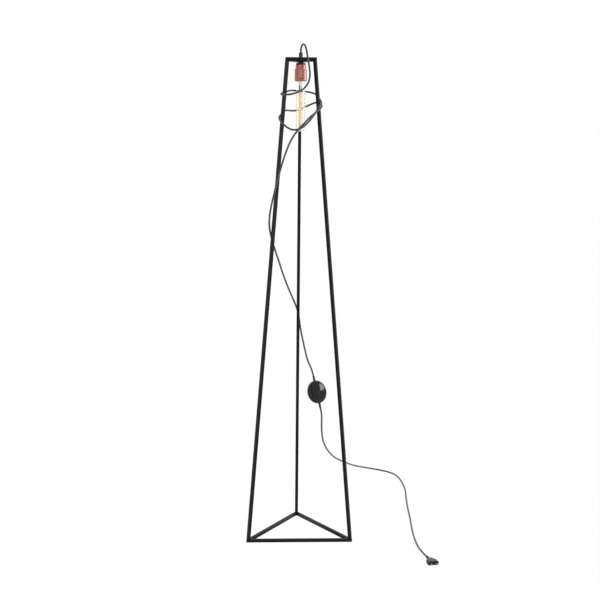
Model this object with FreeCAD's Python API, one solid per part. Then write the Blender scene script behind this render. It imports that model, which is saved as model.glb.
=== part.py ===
"""Floor lamp: an open three-sided pyramid of square steel bar.

A copper lamp holder hangs from a plate in the top ring and carries a long tubular bulb.
A twisted-colour fabric cord leaves the top of the holder, winds round the frame, runs through a
round foot switch and ends in a flat two-pin plug on the floor.

Millimetres, +Z up. The origin is on the floor, at the middle of the frame's box.
The lamp's own upright axis is at x = 0, y = AXIS_Y, and one side of the base faces -Y.
"""
import os
import math

import FreeCAD
import Part

Vector = FreeCAD.Vector

os.makedirs("parts", exist_ok=True)

# ---------------------------------------------------------------- frame
HEIGHT = 1540.0             # floor to the upper face of the top ring
BASE_SIDE = 328.0           # base ring, corner to corner on the bars' middle lines
TOP_SIDE = 86.0             # top ring, the same way
BAR = 10.0                  # square bar
CORNER_R = 3.0              # rounded outer corners of the rings
PLATE_THICK = 2.5           # plate under the top ring that carries the holder
PLATE_INSET = 2.0           # the plate's edges lie this far inside the ring's outer faces
PLATE_LEG_GAP = 0.3         # the plate's clipped corners stand this far off the legs

# ---------------------------------------------------------------- nipple, nuts and cord grip
NIPPLE_R = 5.0              # M10 x 1 threaded tube
NIPPLE_BORE_R = 3.6
NIPPLE_ABOVE = 11.0         # above the plate
NIPPLE_IN_SHELL = 4.5       # reach below the shell's top plate
THREAD_GAP = 0.1            # radial clearance on the nipple
NUT_ACROSS = 14.0           # across flats
UPPER_NUT_HIGH = 3.0
LOWER_NUT_HIGH = 3.6
GRIP_R = 6.2                # cord grip
GRIP_BODY_HIGH = 13.2
GRIP_CAP_HIGH = 10.0
GRIP_CAP_EDGE = 1.2
GRIP_SCREW_R = 1.5

# ---------------------------------------------------------------- lamp holder, E27
DISC_R = 14.5               # black insulating disc
DISC_HIGH = 4.0
DISC_EDGE = 0.7
SHELL_R = 16.5              # upper copper shell
SHELL_HIGH = 15.2
SHELL_ROUND = 3.0
SHELL_SKIRT = 2.6           # the shell reaches this far into the barrel
BARREL_R = 19.8             # lower copper barrel
BARREL_HIGH = 36.4
BARREL_ROUND = 2.6
COPPER_WALL = 1.0
RIM_ROLL = 0.9              # rolled edge at the barrel's mouth
SHELL_SCREW_R = 2.0         # clamping screw seen in the shell's front
SHELL_SCREW_TURN = 15.0     # degrees to the right of the front
VENT_WIDE = 4.0             # pair of small openings near the barrel's mouth
VENT_HIGH = 6.0
VENT_GAP = 2.2
VENT_UP = 2.6               # from the barrel's mouth
INSERT_GAP = 0.2            # porcelain insert inside the copper
INSERT_UP = 6.2             # insert's lower edge above the barrel's mouth
INSERT_FLOOR = 5.0
SOCKET_DEEP = 24.0          # insert's bore, from its lower edge to its floor
SCREW_SHELL_R = 13.4        # inside of the brass screw shell
SCREW_SHELL_WALL = 0.4
SCREW_SHELL_SHORT = 1.0     # the screw shell stops this far above the insert's lower edge
STRIP_WIDE = 7.0            # sprung centre contact
STRIP_THICK = 0.8
STRIP_DROP = 1.2            # the strip's tongue hangs this far under the insert's floor
TERMINAL_OFF = 8.0          # terminals on the insert's floor, from the axis
TERMINAL_R = 2.6
TERMINAL_HIGH = 4.0
LEAD_R = 0.9                # insulated lead inside the holder

# ---------------------------------------------------------------- tubular bulb, E27
BULB_R = 15.0               # glass tube
BULB_LONG = 185.0           # tip of the glass to the centre contact
BULB_GAP = 0.3              # to the holder's contact and screw shell
GLASS_WALL = 0.9
NECK_R = 12.2
NECK_HIGH = 4.5             # neck inside the cap
SHOULDER_HIGH = 6.0
CAP_HIGH = 23.0             # cap shell
CAP_WALL = 0.5
CAP_CONE_HIGH = 3.0
CAP_CONE_R = 9.0
INSULATOR_HIGH = 1.8
CONTACT_R = 4.8
CONTACT_HIGH = 1.0
STEM_R = 4.0                # glass stem
STEM_LONG = 22.0            # from the neck's top
ROD_R = 1.1                 # glass rod that holds the filament's hooks
ROD_PAST = 3.0
CAGE_R = 6.0                # filament cage
CAGE_TOP_DOWN = 39.5        # from the neck's top
CAGE_LONG = 102.5
CAGE_STRANDS = 8
FILAMENT_R = 0.3
HOOK_R = 0.25

# ---------------------------------------------------------------- cord
CORD_DIA = 6.0              # fabric-covered two-core cord
CORD_SIDES = 8              # the cord's section is a polygon of the same area as its circle
CORD_CUT = 0.45             # share of the shorter run that an arc takes
CORD_INSIDE = 43.3          # cord inside the grip and nipple
DRAWN_HEIGHT = 1540.0       # frame height that the cord's points were taken at
CORD_LEVEL_RUN = 24.0       # the cord leaves the switch this far in line with it

# ---------------------------------------------------------------- foot switch, on the hanging cord
SWITCH_AT = Vector(70.9, 203.7, 418.4 * HEIGHT / DRAWN_HEIGHT)  # middle of the switch on the cord's line
SWITCH_ALONG = Vector(0.215, 0.16, -0.963)  # the way the cord runs through it
SWITCH_FACE = Vector(0.05, -0.985, -0.165)  # roughly the way the button faces
SWITCH_WIDE = 66.0
SWITCH_LONG = 82.0
SWITCH_BELOW = 8.0          # base's underside below the cord's line
SWITCH_ABOVE = 17.0         # crown above the cord's line
PARTING = 5.0               # seam between base and cover below the cord's line
CROWN_R = 52.0
SIDE_ROUND = 9.0
ROUND_STEPS = 3             # cones that make up the round edge, and the crown
CROWN_STEPS = 4
COVER_WALL = 2.0
CEILING = 11.0              # underside of the crown above the cord's line
BASE_EDGE = 1.5
BUTTON_R = 11.0
BUTTON_GAP = 0.3
BUTTON_PROUD = 2.0          # above the crown
BUTTON_TRAVEL = 3.0
BUTTON_FLANGE = 1.6         # how far the flange stands out under the cover
BUTTON_FLANGE_HIGH = 2.0
BUTTON_STEM_R = 2.6
BUTTON_STEM_LONG = 10.2
BUTTON_DOME = 0.8
BRIDGE_LONG = 23.0          # moving contact under the flange
BRIDGE_WIDE = 7.0
BRIDGE_THICK = 0.8
PRONG_LONG = 6.4
FIXED_WIDE = 6.0            # fixed contacts
FIXED_LONG = 14.0
CONTACT_LAP = 3.0           # a fixed contact reaches this far under the bridge's end
FIXED_THICK = 0.8
LUG_WIDE = 5.0              # terminal block on a fixed contact
LUG_HIGH = 3.4
CONTACT_GAP = 0.4           # left between the contacts when the button is down
SPRING_MEAN_R = 4.6
SPRING_WIRE_R = 0.45
COVER_SCREW_OFF = 22.0
COVER_BOSS_R = 3.6
COVER_SCREW_R = 1.4
COVER_SCREW_HEAD_R = 2.8
COVER_SCREW_HEAD_HIGH = 1.7
COVER_SCREW_LONG = 9.0
RELIEF_LONG = 20.0          # ringed end past the housing
RELIEF_RINGS = 4
RELIEF_ROOT_R = 4.8
RELIEF_TIP_R = 3.9
RELIEF_FLANGE = 1.2
RELIEF_FLANGE_THICK = 1.7

# ---------------------------------------------------------------- plug
PLUG_WIDE = 35.3
PLUG_THICK = 13.0
PLUG_LONG = 36.0
PLUG_STRAIGHT = 14.0        # parallel part behind the face
PLUG_REAR_WIDE = 14.0
PLUG_EDGE = 3.0
PLUG_RELIEF_LONG = 24.0
PLUG_RELIEF_ROOT_R = 5.2
PIN_R = 2.0
PIN_LONG = 19.0
PIN_SPACING = 18.6
PIN_SEAT = 8.0              # thinner stub of the pin inside the body
PIN_SEAT_R = 1.5
PIN_TIP = 1.2               # chamfer at the tip

# ---------------------------------------------------------------- worked-out levels
ROOT3 = math.sqrt(3.0)


def middle_radius(side):
    """Distance from the middle of a three-sided ring to its bars' middle lines."""
    return side / (2.0 * ROOT3)


FRONT_OUT = middle_radius(BASE_SIDE) + BAR / 2.0
AXIS_Y = -(FRONT_OUT - CORNER_R) / 2.0

RING_BOTTOM = HEIGHT - BAR
PLATE_BOTTOM = RING_BOTTOM - PLATE_THICK
UPPER_NUT_TOP = RING_BOTTOM + UPPER_NUT_HIGH
GRIP_BODY_TOP = UPPER_NUT_TOP + GRIP_BODY_HIGH
GRIP_TOP = GRIP_BODY_TOP + GRIP_CAP_HIGH
LOWER_NUT_BOTTOM = PLATE_BOTTOM - LOWER_NUT_HIGH
SHELL_TOP = LOWER_NUT_BOTTOM - DISC_HIGH
BARREL_TOP = SHELL_TOP - SHELL_HIGH
BARREL_MOUTH = BARREL_TOP - BARREL_HIGH
INSERT_BOTTOM = BARREL_MOUTH + INSERT_UP
INSERT_FLOOR_Z = INSERT_BOTTOM + SOCKET_DEEP
INSERT_TOP = INSERT_FLOOR_Z + INSERT_FLOOR
CONTACT_Z = INSERT_FLOOR_Z - STRIP_DROP - STRIP_THICK - BULB_GAP
BULB_TIP = CONTACT_Z - BULB_LONG
CAP_TOP = CONTACT_Z - CONTACT_HIGH - INSULATOR_HIGH
CAP_BOTTOM = CAP_TOP - CAP_HIGH
CAP_R = SCREW_SHELL_R - BULB_GAP
NECK_TOP = CAP_BOTTOM + NECK_HIGH


# ---------------------------------------------------------------- helpers
def save(name, shape):
    """Write one sub-part."""
    if not shape.isValid():
        raise ValueError("invalid solid: " + name)
    shape.exportStep("parts/" + name + ".step")
    print("%-22s %8.1f mm3  %d solid(s)" % (name, shape.Volume, len(shape.Solids)))


def on_axis(shape):
    """Move a shape that was built on x = y = 0 to the lamp's axis."""
    moved = shape.copy()
    moved.translate(Vector(0, AXIS_Y, 0))
    return moved


def cylinder(radius, low, high, x=0.0, y=0.0):
    """Upright cylinder between two levels."""
    return Part.makeCylinder(radius, high - low, Vector(x, y, low))


def box(x0, x1, y0, y1, z0, z1):
    """Box between opposite corners."""
    return Part.makeBox(x1 - x0, y1 - y0, z1 - z0, Vector(x0, y0, z0))


def prism(points, low, high):
    """Upright prism over a flat outline of (x, y) points."""
    corners = [Vector(x, y, low) for x, y in points]
    outline = Part.makePolygon(corners + corners[:1])
    return Part.Face(outline).extrude(Vector(0, 0, high - low))


def edges_where(shape, test):
    """The shape's edges whose middle point passes the test."""
    return [edge for edge in shape.Edges if test(edge.CenterOfMass)]


def half_section(parts):
    """Edges of an (r, z) outline: each part is the next point, or (point through, next point) of an arc."""
    edges = []
    start = parts[0]
    for part in parts[1:]:
        through, end = part if isinstance(part[0], tuple) else (None, part)
        a = Vector(start[0], 0, start[1])
        b = Vector(end[0], 0, end[1])
        if through:
            edges.append(Part.Arc(a, Vector(through[0], 0, through[1]), b).toShape())
        else:
            edges.append(Part.makeLine(a, b))
        start = end
    return edges


def turned(parts, angle=360.0):
    """Solid of revolution about the upright axis from a closed (r, z) outline."""
    face = Part.Face(Part.Wire(half_section(parts)))
    return face.revolve(Vector(0, 0, 0), Vector(0, 0, 1), angle)


def corner_point(centre, radius, angle):
    """Point on a circle of an (r, z) outline, at an angle in degrees."""
    turn = math.radians(angle)
    return (centre[0] + radius * math.cos(turn), centre[1] + radius * math.sin(turn))


def triangle(inner, low, high, round_r=0.0):
    """Upright three-sided prism whose sides lie at the distance inner, one of them towards -Y."""
    half = inner * ROOT3
    solid = prism([(-half, -inner), (half, -inner), (0, 2 * inner)], low, high)
    if round_r:
        middle = (low + high) / 2.0
        upright = edges_where(solid, lambda p: abs(p.z - middle) < 0.01)
        solid = solid.makeFillet(round_r, upright)
    return solid


def about_axis(shape, turns):
    """Turn a shape by thirds about the lamp's axis at x = y = 0."""
    copy = shape.copy()
    copy.rotate(Vector(0, 0, 0), Vector(0, 0, 1), 120.0 * turns)
    return copy


# ---------------------------------------------------------------- frame
def ring_bar(side, low, turns):
    """One bar of a ring, mitred at both ends, with the ring's rounded outer corners."""
    outer = middle_radius(side) + BAR / 2.0
    inner = outer - BAR
    outline = [
        (-outer * ROOT3, -outer),
        (outer * ROOT3, -outer),
        (inner * ROOT3, -inner),
        (-inner * ROOT3, -inner),
    ]
    bar = prism(outline, low, low + BAR)
    rounded = triangle(outer, low, low + BAR, CORNER_R)
    return about_axis(bar.common(rounded), turns)


def leg(turns):
    """One leaning leg, cut level on the base ring and under the top ring."""
    base_r = 2.0 * middle_radius(BASE_SIDE)
    top_r = 2.0 * middle_radius(TOP_SIDE)
    rise = HEIGHT - BAR
    lean = (base_r - top_r) / rise
    across = BAR * math.sqrt(1.0 + lean * lean)

    def middle(z):
        return base_r - lean * (z - BAR / 2.0)

    low, high = BAR, RING_BOTTOM
    outline = [
        Vector(0, middle(low) - across / 2.0, low),
        Vector(0, middle(low) + across / 2.0, low),
        Vector(0, middle(high) + across / 2.0, high),
        Vector(0, middle(high) - across / 2.0, high),
    ]
    face = Part.Face(Part.makePolygon(outline + outline[:1]))
    solid = face.extrude(Vector(BAR, 0, 0))
    solid.translate(Vector(-BAR / 2.0, 0, 0))
    return about_axis(solid, turns), middle(PLATE_BOTTOM) - across / 2.0


def carrier_plate(leg_inner_face):
    """Plate under the top ring, with its corners clipped to pass between the legs."""
    edge = middle_radius(TOP_SIDE) + BAR / 2.0 - PLATE_INSET
    plate = triangle(edge, PLATE_BOTTOM, RING_BOTTOM)
    reach = leg_inner_face - PLATE_LEG_GAP
    far = 4.0 * edge
    for turns in range(3):
        clip = box(-far, far, reach, far, PLATE_BOTTOM - 1.0, RING_BOTTOM + 1.0)
        plate = plate.cut(about_axis(clip, turns))
    return plate.cut(cylinder(NIPPLE_R + THREAD_GAP, PLATE_BOTTOM - 1.0, RING_BOTTOM + 1.0))


def build_frame():
    sides = ("front", "right", "left")
    for turns, name in enumerate(sides):
        save("base_bar_" + name, on_axis(ring_bar(BASE_SIDE, 0.0, turns)))
        save("top_bar_" + name, on_axis(ring_bar(TOP_SIDE, RING_BOTTOM, turns)))
    for turns, name in enumerate(("rear", "left", "right")):
        solid, inner_face = leg(turns)
        save("leg_" + name, on_axis(solid))
    save("carrier_plate", on_axis(carrier_plate(inner_face)))


# ---------------------------------------------------------------- nipple, nuts and cord grip
def hex_nut(low, high):
    """Hexagon nut on the nipple."""
    corner = NUT_ACROSS / ROOT3
    points = [(corner * math.cos(math.radians(60 * k)), corner * math.sin(math.radians(60 * k)))
              for k in range(6)]
    return prism(points, low, high).cut(cylinder(NIPPLE_R + THREAD_GAP, low - 1.0, high + 1.0))


def build_suspension():
    nipple_top = RING_BOTTOM + NIPPLE_ABOVE
    nipple_low = SHELL_TOP - COPPER_WALL - NIPPLE_IN_SHELL
    nipple = cylinder(NIPPLE_R, nipple_low, nipple_top)
    save("threaded_nipple", on_axis(nipple.cut(cylinder(NIPPLE_BORE_R, nipple_low, nipple_top))))
    save("upper_nut", on_axis(hex_nut(RING_BOTTOM, UPPER_NUT_TOP)))
    save("lower_nut", on_axis(hex_nut(LOWER_NUT_BOTTOM, PLATE_BOTTOM)))

    body = cylinder(GRIP_R, UPPER_NUT_TOP, GRIP_BODY_TOP)
    body = body.cut(cylinder(NIPPLE_R + THREAD_GAP, UPPER_NUT_TOP, nipple_top + THREAD_GAP))
    body = body.cut(cylinder(NIPPLE_BORE_R, UPPER_NUT_TOP, GRIP_BODY_TOP))
    screw_z = nipple_top + (GRIP_BODY_TOP - nipple_top) / 2.0
    screw_face = Vector(GRIP_R, 0, screw_z)
    screw_hole = Part.makeCylinder(GRIP_SCREW_R + THREAD_GAP, GRIP_R, Vector(0, 0, screw_z), Vector(1, 0, 0))
    save("cord_grip_body", on_axis(body.cut(screw_hole)))
    screw = Part.makeCylinder(GRIP_SCREW_R, GRIP_R - CORD_DIA / 2.0, screw_face, Vector(-1, 0, 0))
    slot = box(GRIP_R - 0.8, GRIP_R, -GRIP_SCREW_R, GRIP_SCREW_R, screw_z - 0.25, screw_z + 0.25)
    save("cord_grip_screw", on_axis(screw.cut(slot)))

    cap = cylinder(GRIP_R, GRIP_BODY_TOP, GRIP_TOP)
    cap = cap.makeChamfer(GRIP_CAP_EDGE, edges_where(cap, lambda p: abs(p.z - GRIP_TOP) < 0.01))
    cord_hole = cylinder(CORD_DIA / 2.0 + THREAD_GAP, GRIP_BODY_TOP, GRIP_TOP)
    save("cord_grip_cap", on_axis(cap.cut(cord_hole)))
    inner = cylinder(CORD_DIA / 2.0, GRIP_TOP - CORD_INSIDE, GRIP_TOP)
    save("cord_inner_end", on_axis(inner))


# ---------------------------------------------------------------- lamp holder
def copper_shell():
    """Upper shell: a cup upside down, with a rounded shoulder and a skirt inside the barrel."""
    r, low, top = SHELL_R, BARREL_TOP - SHELL_SKIRT, SHELL_TOP
    shoulder = (r - SHELL_ROUND, top - SHELL_ROUND)
    hole = NIPPLE_R + THREAD_GAP
    shell = turned([
        (r, low), (r, top - SHELL_ROUND), corner_point(shoulder, SHELL_ROUND, 45), (r - SHELL_ROUND, top),
        (hole, top), (hole, top - COPPER_WALL), (r - SHELL_ROUND, top - COPPER_WALL),
        (r - COPPER_WALL, top - SHELL_ROUND), (r - COPPER_WALL, low), (r, low)])
    return shell.cut(shell_screw(THREAD_GAP))


def shell_screw(grown=0.0):
    """Small headless screw in the shell's wall that clamps it on the nipple's collar."""
    middle = (SHELL_TOP + BARREL_TOP) / 2.0
    turn = math.radians(SHELL_SCREW_TURN - 90.0)
    out = Vector(math.cos(turn), math.sin(turn), 0)
    start = out * (SHELL_R + grown) + Vector(0, 0, middle)
    return Part.makeCylinder(SHELL_SCREW_R + grown, 3.0 + 2.0 * grown, start, out * -1.0)


def vents():
    """The pair of openings, once in front and once behind."""
    low = BARREL_MOUTH + VENT_UP
    cuts = []
    for side in (-1.0, 1.0):
        middle = side * (VENT_WIDE + VENT_GAP) / 2.0
        cuts.append(box(middle - VENT_WIDE / 2.0, middle + VENT_WIDE / 2.0,
                        -BARREL_R - 2.0, BARREL_R + 2.0, low, low + VENT_HIGH))
    return cuts


def copper_barrel():
    """Lower barrel: rounded shoulder round the upper shell, open mouth with a turned-in rim."""
    r, low, top = BARREL_R, BARREL_MOUTH, BARREL_TOP
    hole = SHELL_R + THREAD_GAP
    shoulder = (r - BARREL_ROUND, top - BARREL_ROUND)
    inside = r - COPPER_WALL
    barrel = turned([
        (r, low + RIM_ROLL), (r, top - BARREL_ROUND), corner_point(shoulder, BARREL_ROUND, 45),
        (r - BARREL_ROUND, top), (hole, top), (hole, top - COPPER_WALL),
        (r - BARREL_ROUND, top - COPPER_WALL), (inside, top - BARREL_ROUND),
        (inside, low + RIM_ROLL), (inside - RIM_ROLL, low), (r - RIM_ROLL, low), (r, low + RIM_ROLL)])
    for cut in vents():
        barrel = barrel.cut(cut)
    return barrel


def porcelain_insert():
    """Porcelain body: it fills the barrel round the screw shell and closes it above."""
    outer = BARREL_R - COPPER_WALL - INSERT_GAP
    neck = SHELL_R - COPPER_WALL - INSERT_GAP
    bore = SCREW_SHELL_R + SCREW_SHELL_WALL
    step = BARREL_TOP - SHELL_SKIRT - INSERT_GAP
    insert = turned([
        (bore, INSERT_BOTTOM), (outer, INSERT_BOTTOM), (outer, step), (neck, step),
        (neck, INSERT_TOP), (0, INSERT_TOP), (0, INSERT_FLOOR_Z), (bore, INSERT_FLOOR_Z),
        (bore, INSERT_BOTTOM)])
    for side in (-1.0, 1.0):
        hole = cylinder(LEAD_R, INSERT_FLOOR_Z, INSERT_TOP, side * TERMINAL_OFF, 0)
        insert = insert.cut(hole)
    return insert


def centre_contact():
    """Bent brass strip: fixed under the insert's floor, its tongue sprung down over the axis."""
    half = STRIP_WIDE / 2.0
    top, low = INSERT_FLOOR_Z, INSERT_FLOOR_Z - STRIP_DROP - STRIP_THICK
    fixed_end, tongue_end = -TERMINAL_OFF - 2.0, 4.0
    profile = [(fixed_end, top), (-TERMINAL_OFF + 2.0, top), (-3.0, low + STRIP_THICK),
               (tongue_end, low + STRIP_THICK), (tongue_end, low), (-3.0, low),
               (-TERMINAL_OFF + 2.0, top - STRIP_THICK), (fixed_end, top - STRIP_THICK)]
    points = [Vector(x, -half, z) for x, z in profile]
    return Part.Face(Part.makePolygon(points + points[:1])).extrude(Vector(0, STRIP_WIDE, 0))


def build_holder():
    disc = cylinder(DISC_R, SHELL_TOP, LOWER_NUT_BOTTOM)
    disc = disc.makeChamfer(DISC_EDGE, edges_where(disc, lambda p: abs(p.z - LOWER_NUT_BOTTOM) < 0.01))
    bore = cylinder(NIPPLE_R + THREAD_GAP, SHELL_TOP - 1.0, LOWER_NUT_BOTTOM + 1.0)
    save("holder_disc", on_axis(disc.cut(bore)))
    save("holder_shell", on_axis(copper_shell()))
    save("holder_shell_screw", on_axis(shell_screw()))
    save("holder_barrel", on_axis(copper_barrel()))
    save("porcelain_insert", on_axis(porcelain_insert()))

    outer = SCREW_SHELL_R + SCREW_SHELL_WALL
    low, high = INSERT_BOTTOM + SCREW_SHELL_SHORT, INSERT_FLOOR_Z - STRIP_DROP
    shell = cylinder(outer, low, high).cut(cylinder(SCREW_SHELL_R, low, high))
    save("screw_shell", on_axis(shell))
    save("centre_contact", on_axis(centre_contact()))

    terminals = []
    leads = []
    terminal_top, cord_end = INSERT_TOP + TERMINAL_HIGH, GRIP_TOP - CORD_INSIDE
    for side in (-1.0, 1.0):
        x = side * TERMINAL_OFF
        terminals.append(box(x - TERMINAL_R, x + TERMINAL_R, -TERMINAL_R, TERMINAL_R,
                             INSERT_TOP, terminal_top))
        foot, head = Vector(x, 0, terminal_top), Vector(side * CORD_DIA / 4.0, 0, cord_end)
        past = (head - foot).normalize() * (2.0 * LEAD_R)
        lead = Part.makeCylinder(LEAD_R, (head - foot).Length + 2.0 * past.Length, foot - past, past)
        leads.append(lead.common(box(-DISC_R, DISC_R, -LEAD_R, LEAD_R, terminal_top, cord_end)))
    save("holder_terminals", on_axis(Part.makeCompound(terminals)))
    save("holder_leads", on_axis(Part.makeCompound(leads)))


# ---------------------------------------------------------------- bulb
def bulb_glass():
    """Clear tube with a round end below and a narrow neck in the cap."""
    r, wall, tip = BULB_R, GLASS_WALL, BULB_TIP
    end = (0.0, tip + r)
    inside = r - wall
    shoulder = CAP_BOTTOM - SHOULDER_HIGH
    halfway = (shoulder + CAP_BOTTOM) / 2.0
    waist = NECK_R + 0.7 * (r - NECK_R)
    return turned([
        (0, tip), (corner_point(end, r, -45), (r, tip + r)), (r, shoulder), (waist, halfway),
        (NECK_R, CAP_BOTTOM), (NECK_R, NECK_TOP), (NECK_R - wall, NECK_TOP), (NECK_R - wall, CAP_BOTTOM),
        (inside, shoulder), (inside, tip + r), corner_point(end, inside, -30), corner_point(end, inside, -60),
        (0, tip + wall), (0, tip)])


def bulb_cap():
    """Brass cap shell, open below round the glass neck, drawn in to the insulator above."""
    inner = CAP_R - CAP_WALL
    cone = CAP_TOP - CAP_CONE_HIGH
    return turned([
        (CAP_R, CAP_BOTTOM), (CAP_R, cone), (CAP_CONE_R, CAP_TOP), (CAP_CONE_R - CAP_WALL, CAP_TOP),
        (inner, cone), (inner, CAP_BOTTOM), (CAP_R, CAP_BOTTOM)])


def wire_between(a, b, radius):
    """Fine wire between two points, square in section for so small a size."""
    way = (b - a).normalize()
    side = way.cross(Vector(0, 0, 1) if abs(way.z) < 0.9 else Vector(1, 0, 0)).normalize()
    up = way.cross(side)
    ring = [a + side * radius, a + up * radius, a - side * radius, a - up * radius]
    return Part.Face(Part.makePolygon(ring + ring[:1])).extrude(b - a)


def cage_point(index, level):
    """Point of the filament cage at one of its hooks."""
    turn = 2.0 * math.pi * (index + 0.5) / CAGE_STRANDS
    return Vector(CAGE_R * math.cos(turn), CAGE_R * math.sin(turn), level)


def build_bulb():
    save("bulb_glass", on_axis(bulb_glass()))
    save("bulb_cap", on_axis(bulb_cap()))
    insulator = turned([
        (0, CAP_TOP), (CAP_CONE_R, CAP_TOP), (CONTACT_R + 0.6, CAP_TOP + INSULATOR_HIGH),
        (0, CAP_TOP + INSULATOR_HIGH), (0, CAP_TOP)])
    save("bulb_insulator", on_axis(insulator))
    contact = turned([
        (0, CONTACT_Z - CONTACT_HIGH), (CONTACT_R, CONTACT_Z - CONTACT_HIGH),
        (CONTACT_R * 0.5, CONTACT_Z),
        (0, CONTACT_Z), (0, CONTACT_Z - CONTACT_HIGH)])
    save("bulb_contact", on_axis(contact))

    stem_low = NECK_TOP - STEM_LONG
    flare = NECK_R - GLASS_WALL
    cage_top = NECK_TOP - CAGE_TOP_DOWN
    cage_low = cage_top - CAGE_LONG
    stem = turned([
        (0, stem_low), (STEM_R * 0.7, stem_low), (STEM_R, stem_low + 4.0), (STEM_R, NECK_TOP - 8.0),
        (STEM_R + 1.6, NECK_TOP - 3.2), (flare, NECK_TOP), (0, NECK_TOP), (0, stem_low)])
    rod = cylinder(ROD_R, cage_low - ROD_PAST, stem_low + 1.0)
    save("bulb_stem", on_axis(stem.fuse(rod)))

    wires = []
    for index in range(CAGE_STRANDS):
        for level in (cage_top, cage_low):
            tip = cage_point(index, level)
            root = tip * (ROD_R / CAGE_R) + Vector(0, 0, level * (1 - ROD_R / CAGE_R))
            wires.append(wire_between(root, tip, HOOK_R))
    for index in (0, CAGE_STRANDS - 1):
        tip = cage_point(index, cage_top)
        root = Vector(tip.x * 0.35, tip.y * 0.35, stem_low)
        wires.append(wire_between(root, tip, HOOK_R))
    save("bulb_support_wires", on_axis(Part.makeCompound(wires)))

    strands = []
    for index in range(CAGE_STRANDS - 1):
        ends = (index, index + 1) if index % 2 == 0 else (index + 1, index)
        high = cage_point(ends[0], cage_top - HOOK_R - FILAMENT_R)
        low = cage_point(ends[1], cage_low + HOOK_R + FILAMENT_R)
        strands.append(wire_between(high, low, FILAMENT_R))
    save("bulb_filament", on_axis(strands[0].multiFuse(strands[1:])))


# ---------------------------------------------------------------- foot switch
def switch_axes():
    """Unit directions of the switch: along the cord, across, and out of its face."""
    along = Vector(SWITCH_ALONG).normalize()
    face = SWITCH_FACE - along * SWITCH_FACE.dot(along)
    face.normalize()
    return along, face.cross(along), face


def placed(shape, origin, x_way, y_way, z_way):
    """Put a shape from local axes into the lamp's frame."""
    matrix = FreeCAD.Matrix(
        x_way.x, y_way.x, z_way.x, origin.x,
        x_way.y, y_way.y, z_way.y, origin.y,
        x_way.z, y_way.z, z_way.z, origin.z,
        0, 0, 0, 1)
    copy = shape.copy()
    copy.transformShape(matrix)
    return copy


def on_switch(shape):
    """Put a switch piece in place on the cord."""
    along, across, face = switch_axes()
    return placed(shape, SWITCH_AT, along, across, face)


def stretched(parts, straight):
    """Oval solid: two half turns of an (r, z) outline, joined by a straight middle."""
    half_turn = turned(parts, 180.0)
    right = half_turn.copy()
    right.rotate(Vector(0, 0, 0), Vector(0, 0, 1), -90.0)
    right.translate(Vector(straight / 2.0, 0, 0))
    left = half_turn.copy()
    left.rotate(Vector(0, 0, 0), Vector(0, 0, 1), 90.0)
    left.translate(Vector(-straight / 2.0, 0, 0))
    across = Part.Face(Part.Wire(half_section(parts)))
    across.rotate(Vector(0, 0, 0), Vector(0, 0, 1), 90.0)
    across.translate(Vector(-straight / 2.0, 0, 0))
    other = across.copy()
    other.rotate(Vector(-straight / 2.0, 0, 0), Vector(0, 0, 1), 180.0)
    way = Vector(straight, 0, 0)
    return right.multiFuse([left, across.extrude(way), other.extrude(way)]).removeSplitter()


def dome_outline():
    """Half outline of the cover's outside: upright side, round edge and a flatter crown."""
    side = SWITCH_WIDE / 2.0
    crown_low = SWITCH_ABOVE - CROWN_R
    round_x = side - SIDE_ROUND
    reach = CROWN_R - SIDE_ROUND
    round_z = crown_low + math.sqrt(reach * reach - round_x * round_x)
    meet = math.degrees(math.atan2(round_z - crown_low, round_x))
    centre = (round_x, round_z)
    outline = [(0, -PARTING), (side, -PARTING)]
    outline += [corner_point(centre, SIDE_ROUND, meet * step / ROUND_STEPS) for step in range(ROUND_STEPS)]
    for step in range(CROWN_STEPS + 1):
        angle = meet + (90.0 - meet) * step / CROWN_STEPS
        outline.append(corner_point((0.0, crown_low), CROWN_R, angle))
    return outline + [(0, -PARTING)]


def pocket(shrink=0.0):
    """Room inside the cover: upright walls, a sloped edge and a flat ceiling."""
    side = SWITCH_WIDE / 2.0 - COVER_WALL - shrink
    ceiling = CEILING - shrink
    return stretched([
        (0, -PARTING), (side, -PARTING), (side, shrink), (side - ceiling, ceiling),
        (0, ceiling), (0, -PARTING)], SWITCH_LONG - SWITCH_WIDE)


def ringed(root_r, tip_r, root, tip):
    """Strain relief of rings round the cord's line, each a little narrower than the one before."""
    outline = [(0, root)]
    for ring in range(RELIEF_RINGS):
        radius = root_r + (tip_r - root_r) * ring / (RELIEF_RINGS - 1.0)
        outline += [(radius, root + (tip - root) * ring / RELIEF_RINGS),
                    (radius, root + (tip - root) * (ring + 1.0) / RELIEF_RINGS)]
    return turned(outline + [(0, tip), (0, root)])


def relief(sign):
    """Ringed strain relief, moulded round the cord, with a flange inside the housing."""
    end = SWITCH_LONG / 2.0
    inside = end - COVER_WALL - THREAD_GAP
    flange_r = RELIEF_ROOT_R + RELIEF_FLANGE
    flange = cylinder(flange_r, inside - RELIEF_FLANGE_THICK, inside)
    root = inside - RELIEF_FLANGE_THICK
    shank = cylinder(RELIEF_ROOT_R, root, end + 1.0)
    rings = shank.fuse(ringed(RELIEF_ROOT_R, RELIEF_TIP_R, end, end + RELIEF_LONG)).removeSplitter()
    for piece in (flange, rings):
        piece.rotate(Vector(0, 0, 0), Vector(0, 1, 0), 90.0 * sign)
    return rings.fuse(flange.common(pocket(THREAD_GAP)))


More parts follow.
